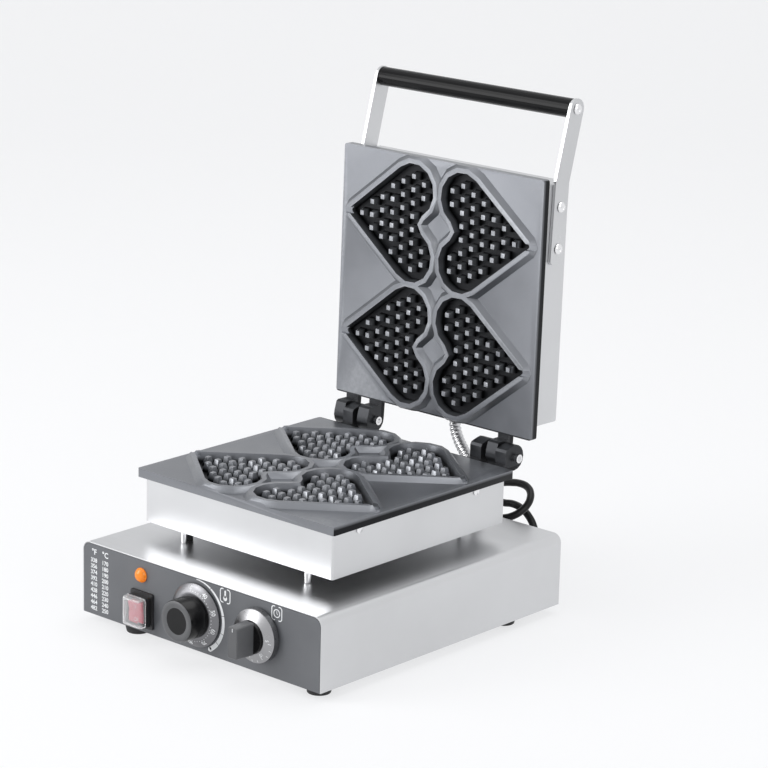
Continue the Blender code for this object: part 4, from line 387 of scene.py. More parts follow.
# %% Cast coating
def cast_coating(name, colour, ridge_lift_colour, shade_colour, roughness):
    """Dark coating on metal: ridges lighter by wear and a painted highlight, recesses and lugs in painted shade."""
    material, tree, shader = begin(name, colour, roughness, 0.85)
    skin = use_group(tree, skin_tree, Scale=1100.0)
    ridge_lift = use_group(tree, wear_highlight_tree, Start=0.51)
    shade_node = use_group(tree, recess_shade_tree)
    tone = blend_colours(tree, skin.outputs["Tone"], colour, tuple(c * 1.12 for c in colour))
    layer = blend_colours(tree, ridge_lift.outputs["Mask"], tone, ridge_lift_colour)
    shaded_tone = blend_colours(tree, shade_node.outputs["Mask"], layer, shade_colour)
    tree.links.new(shaded_tone, shader.inputs["Base Color"])
    vary_roughness(tree, shader, skin.outputs["Tone"], roughness - 0.04, roughness + 0.06)
    bump(tree, shader, skin.outputs["Height"], 0.16, 0.0005)
    return material


# The third colour is the ridges' wear and painted highlight; the fourth is the painted shade of the moulds and lugs.
casting = cast_coating("cast_coating", (0.185, 0.192, 0.208), (0.34, 0.35, 0.37), (0.012, 0.0125, 0.014), 0.34)
print("coating:", casting.name)

# %% [markdown]
# ### Plastics, rubber and prints
# Knobs and grip are glossy black, the switch frame is satin, the lamp lens is clear amber and the hood over the
# rocker is clear. Feet and strain relief are matt rubber. The panel film is dark grey and printed in white.

# %% Plastics and rubber
panel_film = moulded("panel_film", (0.115, 0.12, 0.13), 0.42, (0.13, 0.135, 0.145), 700.0, 0.03, 0.0)
print_white = moulded("white_print", (0.86, 0.87, 0.88), 0.5, (0.80, 0.81, 0.82), 500.0, 0.02, 0.0)
knob_black = moulded("knob_black", (0.004, 0.004, 0.0045), 0.20, (0.007, 0.007, 0.0075), 1400.0, 0.03, 0.01,
                     Specular_IOR_Level=0.25)
frame_black = moulded("switch_black", (0.014, 0.014, 0.015), 0.35, (0.02, 0.02, 0.022), 1400.0, 0.05, 0.03)
grip_black = moulded("grip_black", (0.003, 0.003, 0.0035), 0.14, (0.005, 0.005, 0.0055), 600.0, 0.02, 0.0,
                     Specular_IOR_Level=0.16)
skirt_grey = sheet_metal("dial_skirt", (0.20, 0.20, 0.21), 0.30, (1.0, 1.0, 1.0), 240.0, 0.08, Anisotropic=0.7)
face_grey = moulded("knob_face", (0.085, 0.087, 0.092), 0.34, (0.10, 0.102, 0.107), 1400.0, 0.03, 0.0)
timer_silver = sheet_metal("timer_skirt", (0.36, 0.36, 0.37), 0.30, (1.0, 1.0, 1.0), 240.0, 0.08, Anisotropic=0.7)
rubber = moulded("foot_rubber", (0.014, 0.014, 0.015), 0.7, (0.028, 0.028, 0.029), 900.0, 0.15, 0.12)
cord_rubber = moulded("cord_rubber", (0.004, 0.004, 0.0045), 0.30, (0.007, 0.007, 0.0075), 1200.0, 0.06, 0.01,
                      Specular_IOR_Level=0.25)
rocker_red = moulded("rocker_red", (0.80, 0.035, 0.10), 0.28, (0.72, 0.03, 0.085), 900.0, 0.02, 0.0)
fibre = moulded("fibre_felt", (0.78, 0.76, 0.70), 0.95, (0.66, 0.64, 0.58), 700.0, 0.4, 0.0)
print("plastics:", panel_film.name, knob_black.name, rubber.name)

# %% Clear plastics
PLASTIC_IOR = 1.46


def clear_plastic(name, colour, roughness, transmission):
    """Clear moulding whose gloss drifts a little."""
    material, tree, shader = begin(name, colour, roughness, Transmission_Weight=transmission, IOR=PLASTIC_IOR)
    skin = use_group(tree, skin_tree, Scale=300.0)
    vary_roughness(tree, shader, skin.outputs["Tone"], roughness, roughness + 0.05)
    bump(tree, shader, skin.outputs["Height"], 0.03, 0.0003)
    return material


hood_clear = clear_plastic("hood_clear", (0.96, 0.96, 0.97), 0.10, 0.82)
lens_amber = clear_plastic("lens_amber", (1.0, 0.34, 0.02), 0.10, 0.35)
lens_shader = lens_amber.node_tree.nodes["Principled BSDF"]
lens_shader.inputs["Emission Color"].default_value = (1.0, 0.30, 0.02, 1.0)
lens_shader.inputs["Emission Strength"].default_value = 0.12
print("clear:", hood_clear.name, lens_amber.name)

# %% [markdown]
# ## Finishes for the solids that stay
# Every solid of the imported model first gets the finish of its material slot. Pieces made below then replace the
# ones that need a finer shape.

# %% Dress the solids
FINISH_OF_SLOT = {
    "stainless": steel_x, "casting": casting, "chrome": chrome, "zinc": zinc, "overlay": panel_film,
    "knob_black": knob_black, "grip_black": grip_black, "rubber": rubber, "cord_black": cord_rubber,
    "amber": lens_amber, "red": rocker_red, "clear": hood_clear, "fibre": fibre, "element": element,
}
for part in frame["record"]["subparts"]:
    solid = frame["nodes"][part["node"]]
    if not solid.material_slots:
        solid.data.materials.append(None)
    for held in solid.material_slots:
        held.material = FINISH_OF_SLOT[part["material_slot"]]
for name in ("handle_arm_left", "handle_arm_right"):
    frame["nodes"][name].material_slots[0].material = steel_z
lead_curve.materials.append(cord_rubber)

# %% [markdown]
# ## Tools for new pieces
# Most pieces are turned, lofted through rings or extruded, and some then get softly rounded edges from a Bevel
# modifier. One function gives a piece its place, finish, body and the solid that it stands for.

# %% Piece tools
def arc(centre, radius, start_deg, end_deg, steps):
    """Points along an arc, both ends included."""
    angles = (math.radians(start_deg + (end_deg - start_deg) * i / steps) for i in range(steps + 1))
    return [(centre[0] + radius * math.cos(a), centre[1] + radius * math.sin(a)) for a in angles]


def circle(centre, radius, sides):
    """Points round a full circle, the first one not repeated."""
    return arc(centre, radius, 0, 360, sides)[:-1]


def rounded_rectangle(width, height, radius, steps=6):
    outline = []
    for side_x, side_y, start in ((-1, -1, 180), (1, -1, 270), (1, 1, 0), (-1, 1, 90)):
        middle = (side_x * (width / 2 - radius), side_y * (height / 2 - radius))
        outline += arc(middle, radius, start, start + 90, steps)
    return outline


def bridge(bm, low, high):
    """Faces between two loops with as many corners."""
    for i in range(len(low)):
        j = (i + 1) % len(low)
        bm.faces.new((low[i], low[j], high[j], high[i]))


def loft(bm, rings):
    """A closed skin through rings of points, filled at both ends."""
    loops = [[bm.verts.new(p) for p in ring] for ring in rings]
    for low, high in zip(loops, loops[1:]):
        bridge(bm, low, high)
    bm.faces.new(list(reversed(loops[0])))
    bm.faces.new(loops[-1])
    return bm


def turned(profile, sides=48):
    """Solid of revolution about Z through (radius, height) points; radius 0 closes an end."""
    bm = bmesh.new()
    loops = []
    for radius, height in profile:
        if radius == 0:
            loops.append([bm.verts.new((0, 0, height))])
        else:
            loops.append([bm.verts.new((x, y, height)) for x, y in circle((0, 0), radius, sides)])
    for low, high in zip(loops, loops[1:]):
        for i in range(sides):
            j = (i + 1) % sides
            corners = dict.fromkeys((low[i % len(low)], low[j % len(low)], high[j % len(high)], high[i % len(high)]))
            bm.faces.new(corners)
    return bm


def to_mesh(bm, name, smooth_deg=35):
    """Ends the bmesh as a mesh that is smooth but for edges sharper than smooth_deg."""
    bmesh.ops.recalc_face_normals(bm, faces=bm.faces)
    mesh = bpy.data.meshes.new(name)
    bm.to_mesh(mesh)
    bm.free()
    mesh.shade_smooth()
    mesh.set_sharp_from_angle(angle=math.radians(smooth_deg))
    return mesh


def add_piece(name, mesh, material, body, place=None, stands_for=(), bevel=0.0, segments=3, bevel_deg=40):
    """A visible piece on its body, in place of the solids that it stands for."""
    piece = new_object(name, mesh)
    if not mesh.materials:
        mesh.materials.append(material)
    if place is not None:
        piece.matrix_world = place
    if bevel:
        rounding = piece.modifiers.new("rounded_edges", "BEVEL")
        rounding.width = bevel
        rounding.segments = segments
        rounding.limit_method = "ANGLE"
        rounding.angle_limit = math.radians(bevel_deg)
        rounding.harden_normals = True
    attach(piece, body)
    if stands_for:
        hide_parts(*stands_for)
    return piece


FRONT_Y = -0.1675


def on_front(x, z):
    """Local Z points out of the front panel, local X to the right and local Y up."""
    return Matrix.Translation(at(x, FRONT_Y, z)) @ Matrix.Rotation(math.pi / 2, 4, "X")


HINGE_Y = 0.1443
HINGE_Z = 0.15105
LOWER = Matrix.Translation(at(0, HINGE_Y, HINGE_Z))
LID_OPEN_DEG = 91.3
LID = LOWER @ Matrix.Rotation(math.radians(-LID_OPEN_DEG), 4, "X")
print("hinge at", [round(v, 4) for v in LOWER.translation])

# %% [markdown]
# ## Cast plates
# Each plate keeps the form of its solid. A copy of that solid gets its flat facets joined and every sharp edge
# rounded, because a casting has no knife edges and the ridges need a soft highlight.

# %% Cast plates
WELD = 0.00002
FLAT_DEG = 1.5
CAST_SHARP_DEG = 28
CAST_ROUNDING = 0.0007
for name, place in (("lower", LOWER), ("upper", LID @ Matrix.Rotation(math.pi, 4, "Y"))):
    bm = bmesh.new()
    bm.from_mesh(frame["nodes"][name + "_plate"].data)
    bm.transform(place.inverted())
    bmesh.ops.remove_doubles(bm, verts=bm.verts, dist=WELD)
    bmesh.ops.dissolve_limit(bm, angle_limit=math.radians(FLAT_DEG), verts=bm.verts, edges=bm.edges)
    body = "base" if name == "lower" else "lid"
    plate_piece = add_piece("casting_" + name, to_mesh(bm, "casting_" + name, CAST_SHARP_DEG), casting, body,
                            place, (name + "_plate",), bevel=CAST_ROUNDING, bevel_deg=CAST_SHARP_DEG)
    print(plate_piece.name, len(plate_piece.data.polygons), "faces")

# %% [markdown]
# ## Cross-head screws
# The handle's screws have wide low heads with a cross recess. One head is turned, a cross is cut out of it with a
# Boolean, and it is placed six times on the arms.

# %% Cross-head screws
def cross_cutter(width, reach, low, high):
    """A cross that narrows downwards, wide arms at the top."""
    outline = []
    for turn in range(4):
        a = turn * math.pi / 2
        for x, y in ((width / 2, width / 2), (reach, width / 2), (reach, -width / 2)):
            outline.append((x * math.cos(a) - y * math.sin(a), x * math.sin(a) + y * math.cos(a)))
    outline.sort(key=lambda p: math.atan2(p[1], p[0]))
    inner = [(x * 0.35, y * 0.35) for x, y in outline]
    return to_mesh(loft(bmesh.new(), [[(x, y, low) for x, y in inner], [(x, y, high) for x, y in outline]]), "cross")


head_profile = [(0, -0.002), (0.0024, -0.002), (0.0024, 0), (0.0050, 0), (0.0053, 0.0004), (0.0050, 0.0012),
                (0.0040, 0.0020), (0.0024, 0.0025), (0, 0.0026)]
cutter = new_object("cross", cross_cutter(0.0010, 0.0027, 0.0008, 0.0030))
blank = new_object("blank", to_mesh(turned(head_profile, 40), "blank"))
cross_cut = blank.modifiers.new("cross", "BOOLEAN")
cross_cut.object = cutter
cross_cut.solver = "EXACT"
head_mesh = evaluated_mesh(blank)
bpy.data.objects.remove(blank)
bpy.data.objects.remove(cutter)
ARM_SEAT_X = 0.1226
for side, side_name in ((-1, "left"), (1, "right")):
    for node in ("arm_screw_low_", "arm_screw_high_", "grip_screw_"):
        low, high = (Vector(v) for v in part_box(node + side_name))
        middle = (low + high) / 2
        place = Matrix.Translation((side * ARM_SEAT_X, middle.y, middle.z))
        place = place @ Matrix.Rotation(side * math.pi / 2, 4, "Y")
        add_piece("cross_head_" + node + side_name, head_mesh, chrome, "lid", place, (node + side_name,))
print("screw heads: 6")

# %% [markdown]
# ## Ribbed conduit
# A helical metal hose carries the wires from the base to the lid. It is drawn as one tube whose radius swells at
# each rib.

# %% Ribbed conduit
def open_point(x, y, z):
    return LID @ Vector((x, y, z))


RIBS = 27
RINGS_PER_RIB = 8
HOSE_SIDES = 24
HOSE_R = 0.0050
RIB_HEIGHT = 0.0008
CURVE_STEPS = 400
start, first = (open_point(0.009, y, 0.0306) for y in (-0.0271, -0.0151))
lead_in = open_point(0.009, 0.0209, 0.0306)
end = at(0.062, 0.150, 0.0804)
last, shoulder = end + Vector((0, 0, 0.012)), end + Vector((0, 0, 0.062))
fine = [start]
for i in range(CURVE_STEPS + 1):
    t = i / CURVE_STEPS
    fine.append(first * (1 - t) ** 3 + lead_in * 3 * t * (1 - t) ** 2
                + shoulder * 3 * t * t * (1 - t) + last * t**3)
fine.append(end)
reach = [0.0]
for a, b in zip(fine, fine[1:]):
    reach.append(reach[-1] + (b - a).length)
rings, previous, k = [], None, 0
ring_count = RIBS * RINGS_PER_RIB
for i in range(ring_count + 1):
    goal = reach[-1] * i / ring_count
    while k < len(fine) - 2 and reach[k + 1] < goal:
        k += 1
    share = (goal - reach[k]) / (reach[k + 1] - reach[k])
    spot = fine[k].lerp(fine[k + 1], share)
    along = (fine[k + 1] - fine[k]).normalized()
    side = Vector((0, 0, 1)).cross(along) if previous is None else previous - along * previous.dot(along)
    previous = side.normalized()
    over = along.cross(previous)
    phase = i / ring_count * RIBS * 2 * math.pi
    radius = HOSE_R + RIB_HEIGHT * max(0.0, 0.5 - 0.5 * math.cos(phase)) ** 0.6
    rings.append([spot + previous * x + over * y for x, y in circle((0, 0), radius, HOSE_SIDES)])
conduit_steel = sheet_metal("conduit_steel", (0.62, 0.62, 0.63), 0.22, (1.0, 1.0, 1.0), 200.0, 0.06)
hose_mesh = to_mesh(loft(bmesh.new(), rings), "ribbed_conduit", 60)
hose_mesh.materials.append(conduit_steel)
hose = new_object("ribbed_conduit", hose_mesh)
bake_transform(hose)
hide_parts("conduit")
print("conduit", round(reach[-1], 4))

# %% [markdown]
# ## Base cover
# One sheet folded over both sides with generous bends. It is drawn as a U in section and extruded from front to
# back, so the bends reflect as smooth cylinders. The grain runs from side to side.

# %% Base cover
BASE_W, BASE_D, BASE_TOP, BASE_LOW = 0.305, 0.335, 0.0791, 0.0088
SHEET, BEND_R = 0.001, 0.009
half, inner = BASE_W / 2, BASE_W / 2 - SHEET
u_shape = [(half, BASE_LOW)] + arc((half - BEND_R, BASE_TOP - BEND_R), BEND_R, 0, 90, 16)
u_shape += arc((BEND_R - half, BASE_TOP - BEND_R), BEND_R, 90, 180, 16) + [(-half, BASE_LOW), (-inner, BASE_LOW)]
u_shape += arc((BEND_R - half, BASE_TOP - BEND_R), BEND_R - SHEET, 180, 90, 16)
u_shape += arc((half - BEND_R, BASE_TOP - BEND_R), BEND_R - SHEET, 90, 0, 16) + [(inner, BASE_LOW)]
bm = loft(bmesh.new(), [[at(x, y, z) for x, z in u_shape] for y in (-BASE_D / 2, BASE_D / 2)])
add_piece("base_cover_sheet", to_mesh(bm, "base_cover_sheet", 20), steel_x, "base",
          stands_for=("base_cover",), bevel=0.0003, segments=2)
print("cover", BASE_W, "x", BASE_D)

# %% [markdown]
# ## Feet and posts
# The feet are tapered rubber buttons. The posts are bright turned spacers between the cover and the lower box.

# %% Feet and posts
foot_profile = [(0, 0), (0.0104, 0), (0.0108, 0.0004), (0.0126, 0.0080), (0.0121, 0.0085), (0, 0.0085)]
foot_mesh = to_mesh(turned(foot_profile, 48), "foot_button")
for name, x, y in (("front_left", -0.094, -0.152), ("front_right", 0.132, -0.147), ("rear_left", -0.094, 0.109),
                   ("rear_right", 0.132, 0.109)):
    place = Matrix.Translation(at(x, y, 0))
    add_piece("button_" + name, foot_mesh, rubber, "base", place, ("foot_" + name,))
post_profile = [(0, 0.0742), (0.002, 0.0742), (0.002, 0.0791), (0.0033, 0.0794), (0.0035, 0.0798), (0.0035, 0.0930),
                (0.0032, 0.0935), (0.002, 0.0935), (0.002, 0.0980), (0, 0.0980)]
post_mesh = to_mesh(turned(post_profile, 40), "spacer")
POST_X, POST_Y = 0.079, 0.107
for name, x, y in (("front_left", -1, -1), ("front_right", 1, -1), ("rear_left", -1, 1), ("rear_right", 1, 1)):
    place = Matrix.Translation(at(x * POST_X, y * POST_Y, 0))
    add_piece("spacer_" + name, post_mesh, chrome, "base", place, ("post_" + name,))
print("feet and posts made")

# %% [markdown]
# ## Panel print
# The film carries a conversion table, a widening bar round the thermostat and two plain pictograms. Figures come
# from Blender's text objects; bars and signs are strokes and filled outlines, all a tenth of a millimetre thick.

# %% Print tools
PRINT_T = 0.00004
PRINT_LIFT = 0.00006


def add_text(bm, words, size, place):
    """Adds flat figures to bm, laid out about the origin of the place matrix."""
    curve = bpy.data.curves.new("figures", "FONT")
    curve.body = words
    curve.size = size
    curve.extrude = PRINT_T
    curve.offset = size * 0.022
    curve.resolution_u = 3
    curve.align_x = "CENTER"
    curve.align_y = "CENTER"
    holder = new_object("figures", curve)
    mesh = evaluated_mesh(holder)
    mesh.transform(place)
    bm.from_mesh(mesh)
    bpy.data.objects.remove(holder)
    bpy.data.meshes.remove(mesh)


def add_plate(bm, outline, place):
    """A thin filled outline."""
    loft(bm, [[place @ Vector((x, y, z)) for x, y in outline] for z in (-PRINT_T, PRINT_T)])


def add_stroke(bm, points, width, place, closed=False):
    """A line of even width through the points, with square ends."""
    count = len(points)
    left, right_side = [], []
    for i in range(count):
        before = points[(i - 1) % count] if closed or i else points[i]
        after = points[(i + 1) % count] if closed or i < count - 1 else points[i]
        along = Vector((after[0] - before[0], after[1] - before[1])).normalized()
        side = Vector((-along.y, along.x)) * width / 2
        left.append((points[i][0] + side.x, points[i][1] + side.y))
        right_side.append((points[i][0] - side.x, points[i][1] - side.y))
    for i in range(count if closed else count - 1):
        j = (i + 1) % count
        add_plate(bm, [right_side[i], right_side[j], left[j], left[i]], place)


# %% Conversion table
def panel_spot(x, z):
    return on_front(x, z) @ Matrix.Translation((0, 0, PRINT_LIFT))


FAHRENHEIT_X, CELSIUS_X = -0.1375, -0.1225
ROW_TOP, ROW_PITCH = 0.0622, 0.00588
ROWS = ((338, 170), (356, 180), (374, 190), (392, 200), (410, 210), (428, 220), (446, 230), (464, 240), (482, 250))
print_bm = bmesh.new()
add_text(print_bm, "°F", 0.0076, panel_spot(-0.1372, 0.0703))
add_text(print_bm, "°C", 0.0076, panel_spot(-0.1222, 0.0703))
for i, (fahrenheit, celsius) in enumerate(ROWS):
    z = ROW_TOP - i * ROW_PITCH
    add_text(print_bm, str(fahrenheit), 0.0058, panel_spot(FAHRENHEIT_X, z))
    add_text(print_bm, str(celsius), 0.0058, panel_spot(CELSIUS_X, z))
print("table rows", len(ROWS))

# %% Thermostat bar and pictograms
KNOB_X, KNOB_Z = -0.001, 0.0435
BAR_R = 0.0335
BAR_START, BAR_END = 92, -60
knob_spot = panel_spot(KNOB_X, KNOB_Z)
for start, end in ((BAR_START, 60), (59, 12), (11, -18), (-19, -39), (-40, BAR_END)):
    steps = max(2, abs(start - end) // 3)
    outer_side, inner_side = [], []
    for i in range(steps + 1):
        deg = start + (end - start) * i / steps
        width = 0.0006 + 0.0040 * ((BAR_START - deg) / (BAR_START - BAR_END)) ** 0.8
        for side, edge in ((1, outer_side), (-1, inner_side)):
            radius = BAR_R + side * width / 2
            edge.append((radius * math.cos(math.radians(deg)), radius * math.sin(math.radians(deg))))
    for i in range(steps):
        add_plate(print_bm, [inner_side[i], inner_side[i + 1], outer_side[i + 1], outer_side[i]], knob_spot)
tip = (BAR_R * math.cos(math.radians(BAR_END)), BAR_R * math.sin(math.radians(BAR_END)))
add_plate(print_bm, arc(tip, 0.0023, 30, 390, 20)[:-1], knob_spot)


def add_frame(place):
    """Rounded frame of a pictogram, open in the middle of its top and bottom."""
    half_w, half_h, bend, half_gap = 0.0061, 0.0064, 0.0024, 0.0022
    for side in (-1, 1):
        line = [(side * half_gap, half_h)]
        line += [(side * x, y) for x, y in arc((half_w - bend, half_h - bend), bend, 90, 0, 5)]
        line += [(side * x, y) for x, y in arc((half_w - bend, bend - half_h), bend, 0, -90, 5)]
        line.append((side * half_gap, -half_h))
        add_stroke(print_bm, line, 0.0010, place)


thermometer = panel_spot(0.0345, 0.0702)
add_frame(thermometer)
add_plate(print_bm, circle((0, -0.0024), 0.0024, 20), thermometer)
add_plate(print_bm, [(-0.0010, -0.002), (0.0010, -0.002)] + arc((0, 0.0042), 0.0010, 0, 180, 6), thermometer)
clock = panel_spot(0.0985, 0.0700)
add_frame(clock)
add_stroke(print_bm, circle((0, 0), 0.0036, 28), 0.0009, clock, closed=True)
add_stroke(print_bm, [(0, 0.0023), (0, 0), (0.0015, -0.0009)], 0.0006, clock)
add_piece("panel_print", to_mesh(print_bm, "panel_print"), print_white, "base")
print("panel print made")

# %% [markdown]
# ## Indicator lamp
# A clear amber lens with a domed front and a fine rim, over its body behind the panel.

# %% Indicator lamp
DOME_R, DOME_H, RIM_Z = 0.0064, 0.0038, 0.0017
lens_profile = [(0, -0.016), (0.0056, -0.016), (0.0056, 0.0003), (0.0070, 0.0003), (0.0070, 0.0013), (0.0066, RIM_Z)]
for i in range(1, 10):
    angle = i * math.pi / 20
    lens_profile.append((DOME_R * math.cos(angle), RIM_Z + DOME_H * math.sin(angle)))
lens_profile.append((0, RIM_Z + DOME_H))
add_piece("lamp_lens", to_mesh(turned(lens_profile, 48), "lamp_lens"), lens_amber, "base",
          on_front(-0.0735, 0.0635), ("indicator_lamp",))
print("lamp made")

# %% [markdown]
# ## Mains switch
# A black frame on the panel, a red rocker in its well, and a clear splash hood that rests on the frame's collar.

# %% Mains switch
switch_place = on_front(-0.0715, 0.0310)
HOOD_W, HOOD_H = 0.0252, 0.0285
rings = []
for width, height, corner, z in ((0.0290, 0.0350, 0.002, 0.0003), (0.0290, 0.0350, 0.002, 0.0019),
                                 (0.0284, 0.0344, 0.002, 0.0025), (HOOD_W, HOOD_H, 0.002, 0.0025),
                                 (HOOD_W, HOOD_H, 0.002, 0.0082), (0.0246, 0.0279, 0.002, 0.0085),
                                 (0.0187, 0.0237, 0.001, 0.0085), (0.0185, 0.0235, 0.001, 0.0080),
                                 (0.0185, 0.0235, 0.001, -0.0035)):
    rings.append([(x, y, z) for x, y in rounded_rectangle(width, height, corner)])
add_piece("switch_frame", to_mesh(loft(bmesh.new(), rings), "switch_frame", 30), frame_black, "base",
          switch_place, ("switch_body",))
back_rings = [[(x, y, z) for x, y in rounded_rectangle(0.0215, 0.0275, 0.001)] for z in (-0.024, -0.0036)]
add_piece("switch_case", to_mesh(loft(bmesh.new(), back_rings), "switch_case", 30), frame_black, "base",
          switch_place)
print("switch frame made")

# %% Splash hood
# The hood is hollow: outer rings and inner rings as (inset, height), joined only at the open foot.
shell = bmesh.new()
outer_rings = [(0.0, 0.0088), (0.0, 0.0125), (0.0004, 0.0143), (0.0015, 0.0154), (0.0030, 0.0160)]
inner_rings = [(0.0036, 0.0149), (0.0024, 0.0145), (0.0013, 0.0134), (0.0011, 0.0120), (0.0011, 0.0088)]
loops = []
for inset, z in outer_rings + inner_rings:
    outline = rounded_rectangle(HOOD_W - 2 * inset, HOOD_H - 2 * inset, 0.0026 - min(inset, 0.0016))
    loops.append([shell.verts.new((x, y, z)) for x, y in outline])
outer_top = len(outer_rings) - 1
for k, (low, high) in enumerate(zip(loops, loops[1:])):
    if k != outer_top:
        bridge(shell, low, high)
shell.faces.new(loops[outer_top])
shell.faces.new(loops[outer_top + 1])
bridge(shell, loops[-1], loops[0])
add_piece("splash_hood", to_mesh(shell, "splash_hood", 50), hood_clear, "base", switch_place,
          ("switch_hood",))
print("hood made")

# %% Rocker
ROCKER_HALF_W = 0.0086
ROCKER_TILT_DEG = 8
rocker_profile = [(0.0100, 0.0), (0.0100, 0.0073), (0.0060, 0.0066), (0.0020, 0.0059), (-0.0020, 0.0059),
                  (-0.0060, 0.0066), (-0.0100, 0.0073), (-0.0100, 0.0), (0, -0.0028)]
rocker_rings = [[(x, y, z) for y, z in rocker_profile] for x in (-ROCKER_HALF_W, ROCKER_HALF_W)]
rocker_place = switch_place @ Matrix.Translation((0, 0, 0.0022))
rocker_place = rocker_place @ Matrix.Rotation(math.radians(ROCKER_TILT_DEG), 4, "X")
add_piece("rocker_cap", to_mesh(loft(bmesh.new(), rocker_rings), "rocker_cap", 30), rocker_red, "rocker",
          rocker_place, ("power_rocker",), bevel=0.0006)
marks = bmesh.new()
tilt = math.atan2(0.0073 - 0.0059, 0.0080)
for side in (-1, 1):
    spot = rocker_place @ Matrix.Translation((0, side * 0.0062, 0.00672)) @ Matrix.Rotation(side * tilt, 4, "X")
    if side > 0:
        add_stroke(marks, [(0, -0.0016), (0, 0.0016)], 0.0005, spot)
    else:
        add_stroke(marks, circle((0, 0), 0.0015, 20), 0.0005, spot, closed=True)
add_piece("rocker_marks", to_mesh(marks, "rocker_marks"), print_white, "rocker")
print("switch made")

# %% [markdown]
# ## Thermostat knob
# A wide conical skirt carries the figures; the grip is a plain glossy cylinder, closed by a grey face with a
# shallow dish. The figures follow the cone: each stands on its own small tilted plane.

# %% Thermostat knob
knob_place = on_front(KNOB_X, KNOB_Z)
SKIRT_CONE = ((0.0296, 0.0028), (0.0226, 0.0065))
skirt_profile = [(0.0190, 0.0012), (0.0292, 0.0012), (0.0300, 0.0018), (0.0300, 0.0024), *SKIRT_CONE,
                 (0.0207, 0.0067), (0.0196, 0.0067), (0.0190, 0.0064), (0.0190, 0.0012)]
add_piece("thermostat_skirt", to_mesh(turned(skirt_profile, 96), "thermostat_skirt", 30), skirt_grey,
          "temperature_dial", knob_place, ("temperature_knob",))
grip_profile = [(0, 0.0050), (0.0198, 0.0050), (0.0202, 0.0069), (0.0200, 0.0100), (0.0196, 0.0248),
                (0.0190, 0.0262), (0, 0.0262)]
add_piece("thermostat_grip", to_mesh(turned(grip_profile, 72), "thermostat_grip", 30), knob_black, "temperature_dial",
          knob_place)
face_profile = [(0, 0.0240), (0.0189, 0.0240), (0.0192, 0.0256), (0.0189, 0.0265), (0.0182, 0.0270), (0.0150, 0.0268),
                (0.0105, 0.0257), (0.0095, 0.0256), (0, 0.0256)]
add_piece("thermostat_face", to_mesh(turned(face_profile, 72), "thermostat_face", 50), face_grey, "temperature_dial",
          knob_place)
print("thermostat knob made")


# %% Thermostat figures
def on_cone(centre, deg, radius, outer, inner):
    """Place on a conical skirt that runs from its outer edge (radius, out) to its inner edge."""
    slope = math.atan2(inner[1] - outer[1], outer[0] - inner[0])
    out = outer[1] + (outer[0] - radius) * math.tan(slope)
    radial = Vector((math.cos(math.radians(deg)), math.sin(math.radians(deg)), 0))
    across = Vector((radial.y, -radial.x, 0))
    normal = radial * math.sin(slope) + Vector((0, 0, math.cos(slope)))
    upward = radial * math.cos(slope) - Vector((0, 0, math.sin(slope)))
    turn = Matrix((across, upward, normal)).transposed().to_4x4()
    spot = radial * radius + Vector((0, 0, out)) + normal * PRINT_LIFT
    return centre @ Matrix.Translation(spot) @ turn


FIGURE_START, FIGURE_STEP = 97, 39
FIGURE_R, DOT_R = 0.0262, 0.0238
DOTS_PER_FIGURE = 5
figures = bmesh.new()
for i, figure in enumerate(("0", "40", "50", "60", "70", "80", "90")):
    deg = FIGURE_START - i * FIGURE_STEP
    add_text(figures, figure, 0.0056, on_cone(knob_place, deg, FIGURE_R, *SKIRT_CONE))
    for k in range(DOTS_PER_FIGURE):
        dot = on_cone(knob_place, deg - k * FIGURE_STEP / DOTS_PER_FIGURE, DOT_R, *SKIRT_CONE)
        add_plate(figures, circle((0, 0), 0.00046, 8), dot)
add_piece("knob_figures", to_mesh(figures, "knob_figures"), print_white, "temperature_dial")
print("thermostat figures made")

# %% [markdown]
# ## Timer knob
# A deeper silver skirt with minute marks, a black hub and a grey bar grip whose flat front catches the light.

# %% Timer knob
timer_place = on_front(0.078, 0.0455)
TIMER_CONE = ((0.0245, 0.0082), (0.0160, 0.0115))
skirt_profile = [(0, 0.0012), (0.0243, 0.0012), (0.0250, 0.0019), (0.0250, 0.0076), *TIMER_CONE,
                 (0.0156, 0.0118), (0.0153, 0.0142), (0.0147, 0.0146), (0, 0.0146)]
add_piece("timer_skirt", to_mesh(turned(skirt_profile, 72), "timer_skirt", 30), timer_silver, "timer_dial",
          timer_place, ("timer_knob",))
bar_rings = []
for width, length, z in ((0.0127, 0.0306, 0.0140), (0.0122, 0.0303, 0.0200), (0.0116, 0.0292, 0.0338),
                         (0.0112, 0.0288, 0.0346), (0.0104, 0.0280, 0.0350)):
    bar_rings.append([(x, y, z) for x, y in rounded_rectangle(width, length, 0.0018, 4)])
add_piece("timer_bar", to_mesh(loft(bmesh.new(), bar_rings), "timer_bar", 30), face_grey, "timer_dial",
          timer_place)
hub_profile = [(0, 0.0100), (0.0157, 0.0100), (0.0157, 0.0120), (0.0153, 0.0143), (0.0147, 0.0147), (0, 0.0147)]
add_piece("timer_hub", to_mesh(turned(hub_profile, 64), "timer_hub", 30), knob_black, "timer_dial",
          timer_place)
print("timer knob made")

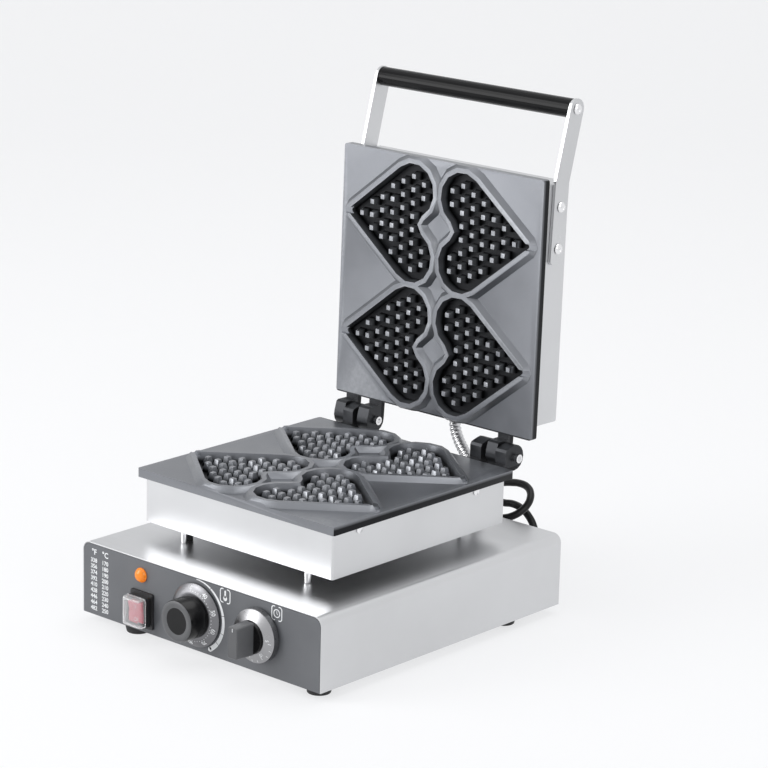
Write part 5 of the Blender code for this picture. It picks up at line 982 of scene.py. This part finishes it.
# %% Timer marks
MARK_STEP = 17
FIGURE_EVERY = 3 * MARK_STEP
MARK_W = 0.0007
minutes = bmesh.new()
for i in range(10):
    inner_end, radius = (-0.0019, 0.0215) if i % 3 == 0 else (-0.0010, 0.0228)
    mark_place = on_cone(timer_place, -6 - i * MARK_STEP, radius, *TIMER_CONE)
    add_stroke(minutes, [(0, inner_end), (0, 0.0012)], MARK_W, mark_place)
for i, figure in enumerate(("5", "10", "15", "20")):
    add_text(minutes, figure, 0.0046, on_cone(timer_place, 2 - i * FIGURE_EVERY, 0.0185, *TIMER_CONE))
add_stroke(minutes, [(0, -0.0016), (0, 0.0016)], MARK_W, timer_place @ Matrix.Translation((0, 0.0121, 0.03506)))
add_piece("timer_marks", to_mesh(minutes, "timer_marks"), print_white, "timer_dial")
print("timer marks made")

# %% [markdown]
# ## Stage
# A pale sweep runs from under the machine up behind it. The camera, reflections and clear plastics see a near-white
# surround, while the lamps light the object at a plain level.

# %% Backdrop
PAPER = (0.80, 0.80, 0.81)
PAPER_SHOWN = (0.27, 0.27, 0.274)
PAPER_GLOW = 0.665
BEND_START, SWEEP_R, SWEEP_HALF_W = 2.2, 1.2, 7.0
sweep = bmesh.new()
profile = [(-6.0, 0.0)] + arc((BEND_START, SWEEP_R), SWEEP_R, -90, 0, 15) + [(BEND_START + SWEEP_R, 5.0)]
away = Vector((-back.x, -back.y, 0)).normalized()
rows = [[sweep.verts.new(away * d + right * w + Vector((0, 0, h))) for w in (-SWEEP_HALF_W, SWEEP_HALF_W)]
        for d, h in profile]
for low, high in zip(rows, rows[1:]):
    sweep.faces.new((low[0], low[1], high[1], high[0]))
backdrop_mesh = to_mesh(sweep, "backdrop")
backdrop_paper, paper_tree, paper_shader = begin("backdrop_paper", PAPER, 0.9)


def shown_rays(tree):
    """1 for rays that show the surround: to the camera, in reflections and through clear plastic."""
    path = add_node(tree, "ShaderNodeLightPath")
    seen = maths(tree, "MAXIMUM", path.outputs["Is Camera Ray"], path.outputs["Is Glossy Ray"])
    return maths(tree, "MAXIMUM", seen, path.outputs["Is Transmission Ray"])


paper_shown = shown_rays(paper_tree)
paper_tone = blend_colours(paper_tree, paper_shown, PAPER, PAPER_SHOWN)
paper_tree.links.new(paper_tone, paper_shader.inputs["Base Color"])
paper_shader.inputs["Emission Color"].default_value = (0.985, 0.99, 1.0, 1.0)
paper_tree.links.new(maths(paper_tree, "MULTIPLY", paper_shown, PAPER_GLOW), paper_shader.inputs["Emission Strength"])
backdrop_mesh.materials.append(backdrop_paper)
backdrop = new_object("backdrop", backdrop_mesh)
print("backdrop made")


# %% Lamps and surround
def softbox(name, place, aim, size, power):
    """A square lamp at a place, turned to its aim."""
    light = bpy.data.lights.new(name, "AREA")
    light.shape = "SQUARE"
    light.size = size
    light.energy = power
    lamp = new_object(name, light)
    lamp.location = place
    lamp.rotation_euler = (Vector(aim) - Vector(place)).to_track_quat("-Z", "Y").to_euler()


softbox("key_light", (-1.3, -2.0, 1.9), (0, 0, 0.2), 1.6, 20.0)
softbox("low_light", (-1.5, -1.75, 0.75), (0, 0, 0.15), 1.4, 21.0)
softbox("fill_light", (2.2, -0.5, 1.3), (0, 0, 0.2), 1.6, 12.0)
softbox("top_light", (0.1, 0.4, 2.4), (0, 0, 0.1), 1.8, 16.0)

world = bpy.data.worlds.new("studio")
bpy.context.scene.world = world
world.use_nodes = True
world_tree = world.node_tree
surround = blend_colours(world_tree, shown_rays(world_tree), (0.56, 0.57, 0.58), (0.92, 0.925, 0.935))
world_tree.links.new(surround, world_tree.nodes["Background"].inputs["Color"])
bpy.context.scene.view_settings.view_transform = "Standard"
print("stage set")
